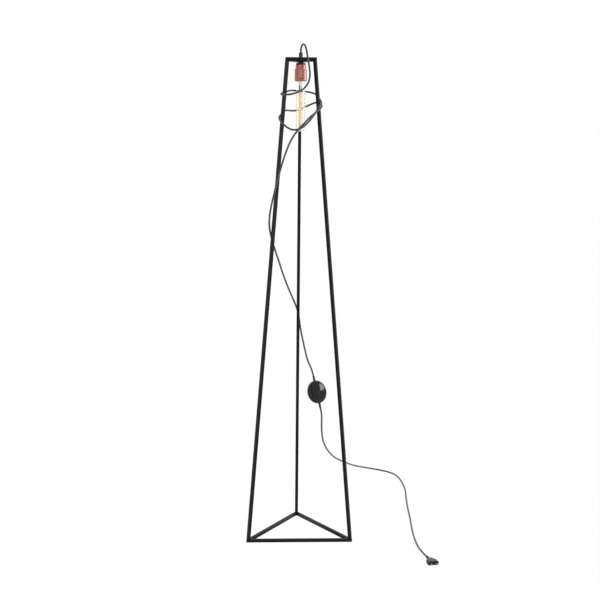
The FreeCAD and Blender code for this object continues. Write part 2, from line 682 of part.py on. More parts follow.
def switch_cover():
    cover = stretched(dome_outline(), SWITCH_LONG - SWITCH_WIDE).cut(pocket())
    for side in (-1.0, 1.0):
        y = side * COVER_SCREW_OFF
        boss = cylinder(COVER_BOSS_R, -PARTING, crown_inside(COVER_SCREW_OFF + COVER_BOSS_R), 0, y)
        pilot = cylinder(COVER_SCREW_R, -PARTING, COVER_SCREW_LONG - SWITCH_BELOW + THREAD_GAP, 0, y)
        cover = cover.fuse(boss).cut(pilot)
        notch = RELIEF_ROOT_R + THREAD_GAP
        reach = SWITCH_LONG / 2.0 + 1.0
        deep = 2.0 * COVER_WALL + 2.0
        opening = Part.makeCylinder(notch, deep, Vector(side * reach, 0, 0), Vector(-side, 0, 0))
        ends = sorted((side * (reach - deep), side * reach))
        slot = box(ends[0], ends[1], -notch, notch, -PARTING - 1.0, 0)
        cover = cover.cut(opening).cut(slot)
    hole = cylinder(BUTTON_R + BUTTON_GAP, 0, SWITCH_ABOVE + BUTTON_PROUD)
    return cover.cut(hole)


def crown_inside(radius):
    """A level between the cover's underside and its outside, at a distance from the button's axis."""
    outside = SWITCH_ABOVE - CROWN_R + math.sqrt(CROWN_R * CROWN_R - radius * radius)
    slope = SWITCH_WIDE / 2.0 - COVER_WALL - radius
    return (min(CEILING, slope) + outside) / 2.0


def switch_base():
    """Flat base with rounded lower edge, posts for the fixed contacts and screw holes."""
    side = SWITCH_WIDE / 2.0
    low = -SWITCH_BELOW
    base = stretched([
        (0, low), (side - BASE_EDGE, low), (side, low + BASE_EDGE), (side, -PARTING), (0, -PARTING), (0, low)],
        SWITCH_LONG - SWITCH_WIDE)
    for side_way in (-1.0, 1.0):
        y = side_way * COVER_SCREW_OFF
        base = base.cut(cylinder(COVER_SCREW_R + THREAD_GAP, low, -PARTING, 0, y))
        head_top = low + COVER_SCREW_HEAD_HIGH
        base = base.cut(cylinder(COVER_SCREW_HEAD_R + THREAD_GAP, low, head_top, 0, y))
        base = base.fuse(contact_post(side_way))
    return base


def fixed_top():
    """Level of the fixed contacts' faces: just under the pressed bridge's prongs."""
    return flange_low() - PRONG_LONG - BUTTON_TRAVEL - CONTACT_GAP


def flange_low():
    """Underside of the button's flange when the button is up."""
    return CEILING - BUTTON_GAP - BUTTON_FLANGE_HIGH


def contact_post(side):
    """Post of the base that carries one fixed contact."""
    near = BRIDGE_LONG / 2.0 - CONTACT_LAP
    top = fixed_top() - FIXED_THICK
    ends = sorted((side * near, side * (near + FIXED_LONG)))
    return box(ends[0], ends[1], -FIXED_WIDE / 2.0, FIXED_WIDE / 2.0, -PARTING, top)


def fixed_contact(side):
    """Fixed contact strip on its post, with a terminal block at its outer end."""
    near = BRIDGE_LONG / 2.0 - CONTACT_LAP
    top = fixed_top()
    ends = sorted((side * near, side * (near + FIXED_LONG)))
    strip = box(ends[0], ends[1], -FIXED_WIDE / 2.0, FIXED_WIDE / 2.0, top - FIXED_THICK, top)
    outer = side * (near + FIXED_LONG)
    lug = sorted((outer, outer - side * FIXED_WIDE))
    return strip.fuse(box(lug[0], lug[1], -LUG_WIDE / 2.0, LUG_WIDE / 2.0, top, top + LUG_HIGH))


def switch_button():
    """Round button with a domed face, a flange under the cover and a guide stem."""
    low = flange_low()
    face = SWITCH_ABOVE + BUTTON_PROUD
    return turned([
        (0, low - BUTTON_STEM_LONG), (BUTTON_STEM_R, low - BUTTON_STEM_LONG), (BUTTON_STEM_R, low),
        (BUTTON_R + BUTTON_FLANGE, low), (BUTTON_R + BUTTON_FLANGE, low + BUTTON_FLANGE_HIGH),
        (BUTTON_R, low + BUTTON_FLANGE_HIGH), (BUTTON_R, face - 2.0 * BUTTON_DOME),
        (BUTTON_R - BUTTON_DOME, face - BUTTON_DOME), (BUTTON_R / 2.0, face - 0.15 * BUTTON_DOME),
        (0, face), (0, low - BUTTON_STEM_LONG)])


def switch_bridge():
    """Moving contact: a brass strip under the button's flange with both ends bent down."""
    top = flange_low()
    half = BRIDGE_LONG / 2.0
    foot = top - PRONG_LONG
    outline = [(-half, foot), (-half, top), (half, top), (half, foot), (half - BRIDGE_THICK, foot),
               (half - BRIDGE_THICK, top - BRIDGE_THICK), (BRIDGE_THICK - half, top - BRIDGE_THICK),
               (BRIDGE_THICK - half, foot)]
    points = [Vector(x, -BRIDGE_WIDE / 2.0, z) for x, z in outline]
    strip = Part.Face(Part.makePolygon(points + points[:1])).extrude(Vector(0, BRIDGE_WIDE, 0))
    return strip.cut(cylinder(BUTTON_STEM_R + THREAD_GAP, foot, top))


def switch_spring():
    """Return spring round the stem, drawn as a plain sleeve, as long as the pressed button leaves it."""
    high = flange_low() - BRIDGE_THICK - BUTTON_TRAVEL - BUTTON_GAP
    outer = SPRING_MEAN_R + SPRING_WIRE_R
    inner = SPRING_MEAN_R - SPRING_WIRE_R
    return cylinder(outer, -PARTING, high).cut(cylinder(inner, -PARTING, high))


def build_switch():
    save("switch_base", on_switch(switch_base()))
    save("switch_cover", on_switch(switch_cover()))
    save("switch_button", on_switch(switch_button()))
    save("switch_bridge", on_switch(switch_bridge()))
    save("switch_spring", on_switch(switch_spring()))
    contacts = Part.makeCompound([fixed_contact(side) for side in (-1.0, 1.0)])
    save("switch_contacts", on_switch(contacts))
    screws = []
    for side in (-1.0, 1.0):
        y = side * COVER_SCREW_OFF
        low = -SWITCH_BELOW
        head_top = low + COVER_SCREW_HEAD_HIGH
        screw = cylinder(COVER_SCREW_HEAD_R, low, head_top, 0, y)
        screws.append(screw.fuse(cylinder(COVER_SCREW_R, head_top, low + COVER_SCREW_LONG, 0, y)))
    save("switch_screws", on_switch(Part.makeCompound(screws)))
    save("switch_relief_upper", on_switch(relief(-1.0)))
    save("switch_relief_lower", on_switch(relief(1.0)))


# ---------------------------------------------------------------- cord
def cord_section(start, way):
    """Regular polygon across the cord, with the area of its circle."""
    way = Vector(way).normalize()
    side = way.cross(Vector(0, 1, 0)).normalize()
    up = way.cross(side)
    step = 2.0 * math.pi / CORD_SIDES
    radius = CORD_DIA / 2.0 * math.sqrt(step / math.sin(step))
    ring = []
    for index in range(CORD_SIDES):
        turn = step * (index + 0.5)
        ring.append(start + side * (radius * math.cos(turn)) + up * (radius * math.sin(turn)))
    return Part.makePolygon(ring + ring[:1])


def cord_tube(points, label):
    """Tube of straight runs joined by tangent arcs, each as large as its two runs allow."""
    corners = [Vector(*p) for p in points]
    section = cord_section(corners[0], corners[1] - corners[0])
    ends = [Part.Face(section)]
    sides = []
    here = corners[0]
    length = 0.0
    radii = []
    for before, corner, after in zip(corners, corners[1:], corners[2:]):
        way_in = corner - before
        way_out = after - corner
        cut = CORD_CUT * min(way_in.Length, way_out.Length)
        turn = way_in.getAngle(way_out)
        radius = cut / math.tan(turn / 2.0)
        radii.append(radius)
        start = corner - Vector(way_in).normalize() * cut
        run = start - here
        sides.append(section.extrude(run))
        section.translate(run)
        axis = way_in.cross(way_out).normalize()
        centre = start + axis.cross(way_in).normalize() * radius
        sides.append(section.revolve(centre, axis, math.degrees(turn)))
        section.rotate(centre, axis, math.degrees(turn))
        here = corner + Vector(way_out).normalize() * cut
        length += run.Length + radius * turn
    run = corners[-1] - here
    length += run.Length
    sides.append(section.extrude(run))
    section.translate(run)
    ends.append(Part.Face(section))
    faces = [face for side in sides for face in side.Faces]
    shell = Part.makeShell(faces + ends)
    shell.sewShape()
    tube = Part.Solid(shell)
    if tube.Volume < 0:
        tube.reverse()
    expected = math.pi * (CORD_DIA / 2.0) ** 2 * length
    print("%s: length %.0f mm, radii %s" % (label, length, " ".join("%.0f" % r for r in radii)))
    print("%s: volume %.4f of section times length" % (label, tube.Volume / expected))
    return tube


def switch_end(sign):
    """Tip of one of the switch's strain reliefs, and a point of the cord straight past it."""
    along = switch_axes()[0]
    tip = SWITCH_AT + along * (sign * (SWITCH_LONG / 2.0 + RELIEF_LONG))
    past = tip + along * (sign * CORD_LEVEL_RUN)
    return [(tip.x, tip.y, tip.z), (past.x, past.y, past.z)]


def raised(points):
    """The points, with their heights in step with the frame's."""
    return [(x, y, z * HEIGHT / DRAWN_HEIGHT) for x, y, z in points]


def over_grip(points):
    """The points, with their heights counted from the top of the cord grip."""
    return [(x, y, GRIP_TOP + z) for x, y, z in points]


# up out of the grip and over to the front, then twice round the left and the right leg, and down
# behind the left and the rear leg to the switch
UPPER_ROUTE = over_grip([
    (0, AXIS_Y, 0), (0, AXIS_Y, 13.4), (3.3, -56.1, 25), (8.5, -68.6, 29.4), (13.8, -81.2, 25),
    (17.1, -88.9, 13.4), (18.5, -90, -0.2), (21, -90, -18.2)]) + raised([
    (25, -91, 1511), (28, -92, 1485), (23, -93, 1460), (8, -95, 1442), (-11, -98, 1431),
    (-33, -102, 1425), (-51, -100, 1423), (-64, -85, 1428), (-60, -54, 1433), (-47, -27, 1437),
    (-30, 3, 1441), (-10, 23, 1441), (10, 23, 1439), (29, 3, 1436), (44, -29, 1431),
    (57, -52, 1426), (66, -83, 1411), (59, -93, 1394), (53, -96, 1377), (40, -99, 1360),
    (24, -101, 1341), (3, -100, 1321), (-22, -99, 1314), (-42, -99, 1322), (-58, -98, 1336),
    (-70, -91, 1351), (-68, -70, 1368), (-55, -40, 1381), (-36, -8, 1377), (-15, 25, 1377),
    (7, 30, 1384), (29, 8, 1395), (45, -27, 1402), (61, -57, 1404), (72, -88, 1395),
    (62, -107, 1384), (45, -114, 1372), (28, -116, 1356), (10, -116, 1337), (-7, -115, 1319),
    (-21, -114, 1301), (-35, -112, 1278), (-48, -110, 1244), (-60, -108, 1207), (-73, -108, 1160),
    (-85, -109, 1111), (-95, -107, 1067), (-99, -101, 1032), (-97, -91, 1003), (-91, -80, 976),
    (-81, -61, 941), (-67, -34, 899), (-51, 0, 848), (-33, 40, 799), (-15, 75, 757),
    (2, 98, 712), (15.2, 121, 652.3), (26.4, 150, 593), (41, 179, 533.5)]) + switch_end(-1.0)[::-1]

# from the switch down to the floor behind the lamp, round to the right and forward to the plug
LOWER_ROUTE = switch_end(1.0) + raised([
    (89.5, 228, 313), (96, 250, 268), (106, 290, 221),
    (124, 342, 176), (150, 405, 136), (182, 474, 103), (218, 548, 70), (252, 613, 41),
    (289, 669, 18), (341, 694, 4), (384, 652, 3), (402, 585, 3), (404.5, 515, 3), (402, 444, 3),
    (397, 377, 3), (391, 311, 3), (385.5, 243, 3), (380.5, 165, 3), (376.5, 83, 3), (374, 9, 3),
    (372.5, -69, 3), (372.5, -139, 3), (374.5, -199, 3.2)]) + [
    (380, -261, PLUG_THICK / 2.0), (390, -309, PLUG_THICK / 2.0)]


def build_cords():
    save("cord_upper", cord_tube(UPPER_ROUTE, "upper cord"))
    save("cord_lower", cord_tube(LOWER_ROUTE, "lower cord"))


# ---------------------------------------------------------------- plug
def on_plug(shape):
    """Put a plug piece in line with the cord's end, lying flat on the floor."""
    last = Vector(*LOWER_ROUTE[-1])
    way = last - Vector(*LOWER_ROUTE[-2])
    way.z = 0.0
    way.normalize()
    up = Vector(0, 0, 1)
    return placed(shape, last, way, up.cross(way), up)


def plug_body():
    """Flat body: parallel behind the face, drawn in to the cord, with rounded edges."""
    rear = PLUG_RELIEF_LONG
    face = rear + PLUG_LONG
    half, rear_half, thick = PLUG_WIDE / 2.0, PLUG_REAR_WIDE / 2.0, PLUG_THICK / 2.0
    neck = face - PLUG_STRAIGHT
    middle = (neck + rear) / 2.0
    edges = [
        Part.makeLine(Vector(face, -half, -thick), Vector(face, half, -thick)),
        Part.makeLine(Vector(face, half, -thick), Vector(neck, half, -thick)),
        Part.Arc(Vector(neck, half, -thick), Vector(middle, (half + rear_half) / 2.0 + 1.6, -thick),
                 Vector(rear, rear_half, -thick)).toShape(),
        Part.makeLine(Vector(rear, rear_half, -thick), Vector(rear, -rear_half, -thick)),
        Part.Arc(Vector(rear, -rear_half, -thick), Vector(middle, -(half + rear_half) / 2.0 - 1.6, -thick),
                 Vector(neck, -half, -thick)).toShape(),
        Part.makeLine(Vector(neck, -half, -thick), Vector(face, -half, -thick))]
    body = Part.Face(Part.Wire(edges)).extrude(Vector(0, 0, PLUG_THICK))
    long_edges = [edge for edge in body.Edges
                  if abs(abs(edge.CenterOfMass.z) - thick) < 0.01 and abs(edge.CenterOfMass.y) > 1.0]
    body = body.makeChamfer(PLUG_EDGE, long_edges)
    for side in (-1.0, 1.0):
        body = body.cut(plug_pin(side))
    return body


def plug_pin(side):
    """Round pin with a bevelled tip, on a thinner stub that is seated in the body."""
    face = PLUG_RELIEF_LONG + PLUG_LONG
    y = side * PIN_SPACING / 2.0
    pin = Part.makeCylinder(PIN_R, PIN_LONG, Vector(face, y, 0), Vector(1, 0, 0))
    pin = pin.makeChamfer(PIN_TIP, edges_where(pin, lambda p: abs(p.x - face - PIN_LONG) < 0.01))
    return pin.fuse(Part.makeCylinder(PIN_SEAT_R, PIN_SEAT, Vector(face - PIN_SEAT, y, 0), Vector(1, 0, 0)))


def plug_relief():
    """Ringed strain relief behind the plug."""
    shape = ringed(RELIEF_TIP_R, PLUG_RELIEF_ROOT_R, 0.0, PLUG_RELIEF_LONG)
    shape.rotate(Vector(0, 0, 0), Vector(0, 1, 0), 90.0)
    return shape


def build_plug():
    save("plug_body", on_plug(plug_body()))
    save("plug_relief", on_plug(plug_relief()))
    save("plug_pins", on_plug(Part.makeCompound([plug_pin(side) for side in (-1.0, 1.0)])))


build_frame()
build_suspension()
build_holder()
build_bulb()
build_switch()
build_cords()
build_plug()
print("axis y %.2f, grip top %.1f, bulb tip %.1f, mouth %.1f" % (AXIS_Y, GRIP_TOP, BULB_TIP, BARREL_MOUTH))
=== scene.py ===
# %% [markdown]
# # A three-legged floor lamp with a hanging copper holder
# The lamp is an open pyramid of square steel bar. A copper holder hangs inside its top and carries a
# long tubular bulb, and a striped fabric cord winds round the legs on its way down to a foot switch
# and a plug. The measured solids are loaded first. They never move, and everything here is fitted
# to them.

# %% Load the measured solids
import math

import bmesh
import bpy
import numpy as np
from mathutils import Matrix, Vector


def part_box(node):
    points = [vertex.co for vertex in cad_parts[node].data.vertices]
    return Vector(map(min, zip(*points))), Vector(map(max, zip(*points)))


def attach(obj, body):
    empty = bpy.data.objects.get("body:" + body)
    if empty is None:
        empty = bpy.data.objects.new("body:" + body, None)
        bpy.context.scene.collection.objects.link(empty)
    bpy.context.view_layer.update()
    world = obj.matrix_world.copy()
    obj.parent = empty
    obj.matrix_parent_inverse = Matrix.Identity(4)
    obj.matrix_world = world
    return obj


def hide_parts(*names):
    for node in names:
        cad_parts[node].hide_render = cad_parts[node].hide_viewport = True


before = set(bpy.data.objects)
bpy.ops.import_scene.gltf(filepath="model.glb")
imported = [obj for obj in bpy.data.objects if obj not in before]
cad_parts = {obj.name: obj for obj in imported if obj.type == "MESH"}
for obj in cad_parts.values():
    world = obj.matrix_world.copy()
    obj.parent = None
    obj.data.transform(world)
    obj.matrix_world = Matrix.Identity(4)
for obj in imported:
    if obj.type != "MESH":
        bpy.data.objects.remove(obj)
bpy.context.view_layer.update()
MM = 0.001
# the holder hangs plumb, so the middle of its barrel gives the lamp's axis
barrel_low, barrel_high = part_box("holder_barrel")
AXIS = np.array([0.0, (barrel_low[1] + barrel_high[1]) / 2.0, 0.0])
print("solids:", len(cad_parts), "axis y:", round(AXIS[1], 5))

# %% [markdown]
# ## The camera
# The picture was taken from about four metres, at four fifths of the lamp's height and tipped slightly
# down, so the legs draw together upwards by their own slope and downwards by perspective. The camera's
# place and its directions are written out, because a turn given in angles is easier to get wrong.

# %% Camera
CAMERA_AT = (-0.13537, -3.90441, 1.29484)
LOOK_RIGHT = (0.99938096, -0.03475044, 0.00548618)
LOOK_UP = (-0.00078605, 0.13384736, 0.99100165)
LENS_MM = 72.6
SENSOR_MM = 36.0
SEES_TO = 50.0


def standing(right, up, back, at):
    """Matrix that stands a thing at a place, with its own x, y and z along right, up and back."""
    matrix = np.identity(4)
    matrix[:3] = np.stack([right, up, back, at], axis=1)
    return Matrix(matrix.tolist())


def make_camera():
    """Camera whose own x, y and z are the picture's right, up and the way back to the viewer."""
    data = bpy.data.cameras.new("camera")
    data.lens = LENS_MM
    data.sensor_width = SENSOR_MM
    data.clip_end = SEES_TO
    camera = bpy.data.objects.new("camera", data)
    camera.matrix_world = standing(LOOK_RIGHT, LOOK_UP, np.cross(LOOK_RIGHT, LOOK_UP), CAMERA_AT)
    bpy.context.scene.collection.objects.link(camera)
    bpy.context.scene.camera = camera


make_camera()
print("camera:", LENS_MM, "mm lens,", round(-CAMERA_AT[1], 2), "m in front of the lamp")

# %% [markdown]
# ## Surfaces from grids
# Every new piece is a grid of points worked out as one array. A grid that closes on itself is joined
# along its seam, and rows that shrink to a single point become a closed pole, because doubled points
# are merged before the normals are turned outwards.

# %% Mesh helpers
# in metres
MERGE_WITHIN = 1e-6
SLIVER = 1e-7


def link(name, mesh):
    """Put a finished mesh in the scene."""
    piece = bpy.data.objects.new(name, mesh)
    bpy.context.scene.collection.objects.link(piece)
    return piece


def shade_smooth(mesh, sharp_degrees):
    """Shade smooth, except across edges that turn by more than an angle."""
    mesh.polygons.foreach_set("use_smooth", np.ones(len(mesh.polygons), dtype=bool))
    mesh.set_sharp_from_angle(angle=math.radians(sharp_degrees))


def finish_mesh(mesh, sharp_degrees):
    """Merge doubled points, turn faces outwards and shade."""
    work = bmesh.new()
    work.from_mesh(mesh)
    bmesh.ops.remove_doubles(work, verts=work.verts, dist=MERGE_WITHIN)
    bmesh.ops.dissolve_degenerate(work, edges=work.edges, dist=SLIVER)
    bmesh.ops.recalc_face_normals(work, faces=work.faces)
    work.to_mesh(mesh)
    work.free()
    shade_smooth(mesh, sharp_degrees)


def surface(name, grid, wrap_rows=False, wrap_columns=False, sharp_degrees=35.0, uv=None):
    """Piece from a grid of points in metres, with a four-sided face between each four neighbours."""
    rows, columns = grid.shape[:2]
    row = np.arange(rows if wrap_rows else rows - 1)[:, None]
    column = np.arange(columns if wrap_columns else columns - 1)[None, :]
    next_row, next_column = (row + 1) % rows, (column + 1) % columns
    corners = np.stack([row * columns + column, next_row * columns + column,
                        next_row * columns + next_column, row * columns + next_column], axis=-1)
    faces = corners.reshape(-1, 4)
    mesh = bpy.data.meshes.new(name)
    mesh.from_pydata(grid.reshape(-1, 3), [], faces)
    if uv is not None:
        layer = mesh.uv_layers.new(name="along")
        layer.data.foreach_set("uv", uv.reshape(-1, 2)[faces.reshape(-1)].reshape(-1))
    finish_mesh(mesh, sharp_degrees)
    return link(name, mesh)


# %% [markdown]
# ## Outlines and turned pieces
# Most pieces here come off a lathe or out of a mould, so each is an outline that goes round an axis.
# No real edge is knife sharp, so every corner of an outline says how far it is rounded.

# %% Outline helpers
NO_TURN = 1e-6
NEARLY_FLAT = 0.99999
ALMOST_HALF = 0.49


def rounded(corners, closed=True, steps=6):
    """Outline with its corners rounded.

    Each corner is (x, z, radius). The arc's centre lies on the corner's bisector, and the arc's points
    are blended from its two ends by the sine rule for a turn at a steady rate. An arc takes at most
    about half of the shorter of its two sides.
    """
    table = np.array(corners, dtype=float)
    points, radii = table[:, :2], table[:, 2]
    back = np.roll(points, 1, axis=0) - points
    onward = np.roll(points, -1, axis=0) - points
    back_long = np.linalg.norm(back, axis=1)
    onward_long = np.linalg.norm(onward, axis=1)
    back /= back_long[:, None]
    onward /= onward_long[:, None]
    half = 0.5 * np.arccos(np.clip((back * onward).sum(axis=1), -NEARLY_FLAT, NEARLY_FLAT))
    reach = np.minimum(radii / np.tan(half), ALMOST_HALF * np.minimum(back_long, onward_long))
    if not closed:
        reach[0] = reach[-1] = 0.0
    bisector = back + onward
    bisector /= np.linalg.norm(bisector, axis=1)[:, None]
    centre = points + bisector * (reach / np.cos(half))[:, None]
    first = points + back * reach[:, None] - centre
    last = points + onward * reach[:, None] - centre
    turn = np.maximum(math.pi - 2.0 * half, NO_TURN)[:, None, None]
    share = np.linspace(0.0, 1.0, steps + 1)[None, :, None]
    arcs = (np.sin((1.0 - share) * turn) * first[:, None]
            + np.sin(share * turn) * last[:, None]) / np.sin(turn)
    return (centre[:, None] + arcs).reshape(-1, 2)


def full_turn(sides):
    """Angles once round. The last is left out, because it is the first again."""
    return np.linspace(0.0, 2.0 * math.pi, sides, endpoint=False)


def lathe(name, outline, sides=96, closed=False, sharp_degrees=35.0):
    """Turned piece on the lamp's axis: each outline point (r, z) in mm goes once round at its radius."""
    turn = full_turn(sides)
    r, z = outline[:, :1], outline[:, 1:]
    grid = np.stack([r * np.cos(turn), r * np.sin(turn), z + 0.0 * turn], axis=-1) * MM + AXIS
    return surface(name, grid, wrap_rows=closed, wrap_columns=True, sharp_degrees=sharp_degrees)


# %% [markdown]
# ## Measured solids that are shown
# The bars, the nuts and some screws already have the right shape. A copy of each gets a small round on
# its edges from a bevel, which needs the loose triangles joined and the flat ones made into one face
# first. Pieces hidden deep inside are shown just as they are, in their finish.

# %% Helpers for measured solids
FLAT_DEGREES = 1.0
BEVEL_DEGREES = 32.0
SOFT_SHARP_DEGREES = 50.0
BEVEL_STEPS = 3


def softened(node, width_mm):
    """Copy of a measured solid with its facets joined and a small round on every sharp edge."""
    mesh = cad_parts[node].data.copy()
    mesh.name = node + "_soft"
    work = bmesh.new()
    work.from_mesh(mesh)
    bmesh.ops.remove_doubles(work, verts=work.verts, dist=MERGE_WITHIN)
    bmesh.ops.dissolve_limit(work, angle_limit=math.radians(FLAT_DEGREES), verts=work.verts,
                             edges=work.edges)
    work.to_mesh(mesh)
    work.free()
    piece = link(node + "_soft", mesh)
    bevel = piece.modifiers.new("edge", "BEVEL")
    bevel.width = width_mm * MM
    bevel.segments = BEVEL_STEPS
    bevel.limit_method = "ANGLE"
    bevel.angle_limit = math.radians(BEVEL_DEGREES)
    shade_smooth(mesh, SOFT_SHARP_DEGREES)
    return piece


def settle(piece, material, slot, *nodes, body="stand"):
    """Give a piece its finish, hide the nodes that it stands for, and hang it on the body that it rides on.
    The slot is not used.
    """
    piece.data.materials.clear()
    piece.data.materials.append(material)
    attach(piece, body)
    if nodes:
        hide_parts(*nodes)
    return piece


def finish_nodes(material, *nodes):
    """Give measured solids that stay visible their finish."""
    for node in nodes:
        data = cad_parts[node].data
        data.materials.clear()
        data.materials.append(material)


# %% [markdown]
# ## Finishes
# Each finish is one small group of shader nodes. The pattern always reads the piece's own
# coordinates, so it stays on the piece when the piece moves. Fine noise goes to the roughness and to
# a shallow bump, which breaks up the highlights as a real surface does.

# %% Finish helpers
# the middle of a noise's values, which it seldom leaves
NOISE_LOW, NOISE_HIGH = 0.3, 0.7


def new_finish(name, colour, rough, metallic=0.0, specular=0.5):
    """Material with its shader and the piece's own coordinates ready."""
    material = bpy.data.materials.new(name)
    material.use_nodes = True
    tree = material.node_tree
    shader = tree.nodes["Principled BSDF"]
    shader.inputs["Base Color"].default_value = (*colour, 1.0)
    shader.inputs["Roughness"].default_value = rough
    shader.inputs["Metallic"].default_value = metallic
    shader.inputs["Specular IOR Level"].default_value = specular
    place = tree.nodes.new("ShaderNodeTexCoord")
    return material, tree, shader, place.outputs["Object"]


def noise(tree, place, scale, detail, stretch=(1.0, 1.0, 1.0)):
    """Noise at a place, drawn out along the axes by the stretch."""
    mapping = tree.nodes.new("ShaderNodeMapping")
    mapping.inputs["Scale"].default_value = stretch
    texture = tree.nodes.new("ShaderNodeTexNoise")
    texture.inputs["Scale"].default_value = scale
    texture.inputs["Detail"].default_value = detail
    tree.links.new(place, mapping.inputs["Vector"])
    tree.links.new(mapping.outputs["Vector"], texture.inputs["Vector"])
    return texture.outputs["Fac"]


def ranged(tree, value, low, high, to_low=0.0, to_high=1.0, way="LINEAR"):
    """Carry a value from one range to another, and keep it within that."""
    node = tree.nodes.new("ShaderNodeMapRange")
    node.interpolation_type = way
    for socket, number in (("From Min", low), ("From Max", high), ("To Min", to_low), ("To Max", to_high)):
        node.inputs[socket].default_value = number
    tree.links.new(value, node.inputs["Value"])
    return node.outputs["Result"]


def roughened(tree, shader, value, low, high):
    """Roughness that follows a noise between two values."""
    tree.links.new(ranged(tree, value, NOISE_LOW, NOISE_HIGH, low, high), shader.inputs["Roughness"])


def bump(tree, shader, value, height_mm, strength):
    """Raise the surface by a value."""
    node = tree.nodes.new("ShaderNodeBump")
    node.inputs["Distance"].default_value = height_mm * MM
    node.inputs["Strength"].default_value = strength
    tree.links.new(value, node.inputs["Height"])
    tree.links.new(node.outputs["Normal"], shader.inputs["Normal"])


def feed(tree, socket, value):
    """Give a socket a number, a colour or what another socket sends."""
    if isinstance(value, float):
        socket.default_value = value
    elif isinstance(value, tuple):
        socket.default_value = (*value, 1.0)
    else:
        tree.links.new(value, socket)


def mixed(tree, factor, a, b, blend="MIX"):
    """Colour from a to b, as far as the factor says."""
    node = tree.nodes.new("ShaderNodeMix")
    node.data_type = "RGBA"
    node.blend_type = blend
    for socket, value in (("Factor", factor), ("A", a), ("B", b)):
        feed(tree, node.inputs[socket], value)
    return node.outputs["Result"]


def tint(tree, shader, value, dark, light):
    """Colour that wanders between two tones."""
    tree.links.new(mixed(tree, value, dark, light), shader.inputs["Base Color"])


def math_node(tree, operation, a, b=0.0):
    """One step of arithmetic on one or two values."""
    node = tree.nodes.new("ShaderNodeMath")
    node.operation = operation
    for socket, value in zip(node.inputs, (a, b)):
        feed(tree, socket, value)
    return node.outputs[0]


# %% [markdown]
# ## Paint, plastic, metal and glaze
# Powder coat, moulded plastic and spun metal differ in how even their gloss is, so each has one
# function, and the lamp's materials are made from it with their own colours. The thin rings on the
# metal come from noise that is squeezed along the axis.

# %% Painted, moulded and metal finishes
# noise squeezed along the axis, which leaves rings round it
SPUN = (3.0, 3.0, 2600.0)


def powder_black():
    """Black powder coat: satin, with a faint orange-peel skin."""
    material, tree, shader, place = new_finish("powder_black", (0.012, 0.012, 0.013), 0.42, specular=0.12)
    patches = noise(tree, place, scale=14.0, detail=3.0)
    roughened(tree, shader, patches, 0.36, 0.50)
    tint(tree, shader, patches, (0.0045, 0.0045, 0.005), (0.0085, 0.0085, 0.0095))
    bump(tree, shader, noise(tree, place, scale=900.0, detail=2.0), height_mm=0.012, strength=0.3)
    return material


def moulded(name, colour, rough_low, rough_high, grain=1500.0, height_mm=0.01, specular=0.5):
    """Moulded plastic or rubber: even colour and a fine skin."""
    material, tree, shader, place = new_finish(name, colour, rough_low, specular=specular)
    cloud = noise(tree, place, scale=60.0, detail=3.0)
    roughened(tree, shader, cloud, rough_low, rough_high)
    tint(tree, shader, cloud, tuple(0.8 * c for c in colour), tuple(1.25 * c for c in colour))
    bump(tree, shader, noise(tree, place, scale=grain, detail=2.0), height_mm, strength=0.4)
    return material


def spun_metal(name, dark, light, rough_low, rough_high):
    """Metal turned on a lathe: fine rings round the axis and slow changes of tone."""
    material, tree, shader, place = new_finish(name, light, rough_low, metallic=1.0)
    rings = noise(tree, place, scale=1.0, detail=2.0, stretch=SPUN)
    cloud = noise(tree, place, scale=45.0, detail=4.0)
    roughened(tree, shader, rings, rough_low, rough_high)
    tint(tree, shader, cloud, dark, light)
    bump(tree, shader, rings, height_mm=0.006, strength=0.35)
    return material


def glaze_in_painted_shade():
    """Insert with a clear glaze, coloured dark red-brown as painted shade with a painted copper reflection,
    and faint clouds.
    """
    material, tree, shader, place = new_finish("porcelain", (0.035, 0.010, 0.008), 0.16)
    shader.inputs["Coat Weight"].default_value = 0.3
    cloud = noise(tree, place, scale=90.0, detail=4.0)
    # both tones are dark red-brown for painted shade and a painted copper reflection; the clouds between them
    # are random
    tint(tree, shader, cloud, (0.022, 0.006, 0.005), (0.045, 0.013, 0.010))
    bump(tree, shader, cloud, height_mm=0.03, strength=0.3)
    return material


steel_paint = powder_black()
gloss_black = moulded("gloss_black", (0.005, 0.005, 0.0055), 0.10, 0.16, grain=900.0, height_mm=0.004,
                      specular=0.3)
satin_black = moulded("satin_black", (0.012, 0.012, 0.012), 0.35, 0.5)
soft_black = moulded("soft_black", (0.016, 0.016, 0.016), 0.6, 0.75)
lead_brown = moulded("lead_brown", (0.20, 0.07, 0.03), 0.4, 0.5)
copper = spun_metal("copper", (0.375, 0.152, 0.112), (0.495, 0.235, 0.19), 0.30, 0.44)
brass = spun_metal("brass", (0.55, 0.38, 0.14), (0.72, 0.54, 0.26), 0.22, 0.36)
zinc = spun_metal("zinc", (0.40, 0.40, 0.41), (0.60, 0.60, 0.61), 0.30, 0.45)
porcelain = glaze_in_painted_shade()
print("metals:", ", ".join(metal.name for metal in (copper, brass, zinc)))

# %% [markdown]
# ## Light, floor and backdrop
# The picture has an even white ground, so the floor and the room look white to the camera, also
# through the glass and in the metal's reflections. The light that falls on the lamp itself comes from
# a dimmer room and from broad soft lamps to the right, the left and above.

# %% Light and ground
PLAIN_WHITE = (1.0, 1.0, 1.0, 1.0)
ROOM_LIGHT = 0.55
GROUND_WHITE = 0.99
FLOOR_REACH = 9.0
FLOOR_LEVEL = -0.0005
# name, place, point it is aimed at, width and height, watts, and whether shiny pieces mirror it
LAMPS = (
    ("key_right", (2.8, -0.6, 2.2), (0.0, 0.0, 0.9), (1.0, 2.6), 95.0, True),
    ("fill_left", (-2.8, -2.4, 2.0), (0.0, 0.0, 0.9), (2.0, 2.4), 30.0, False),
    ("top", (0.2, -0.6, 3.6), (0.0, 0.0, 0.8), (2.4, 2.4), 45.0, False))


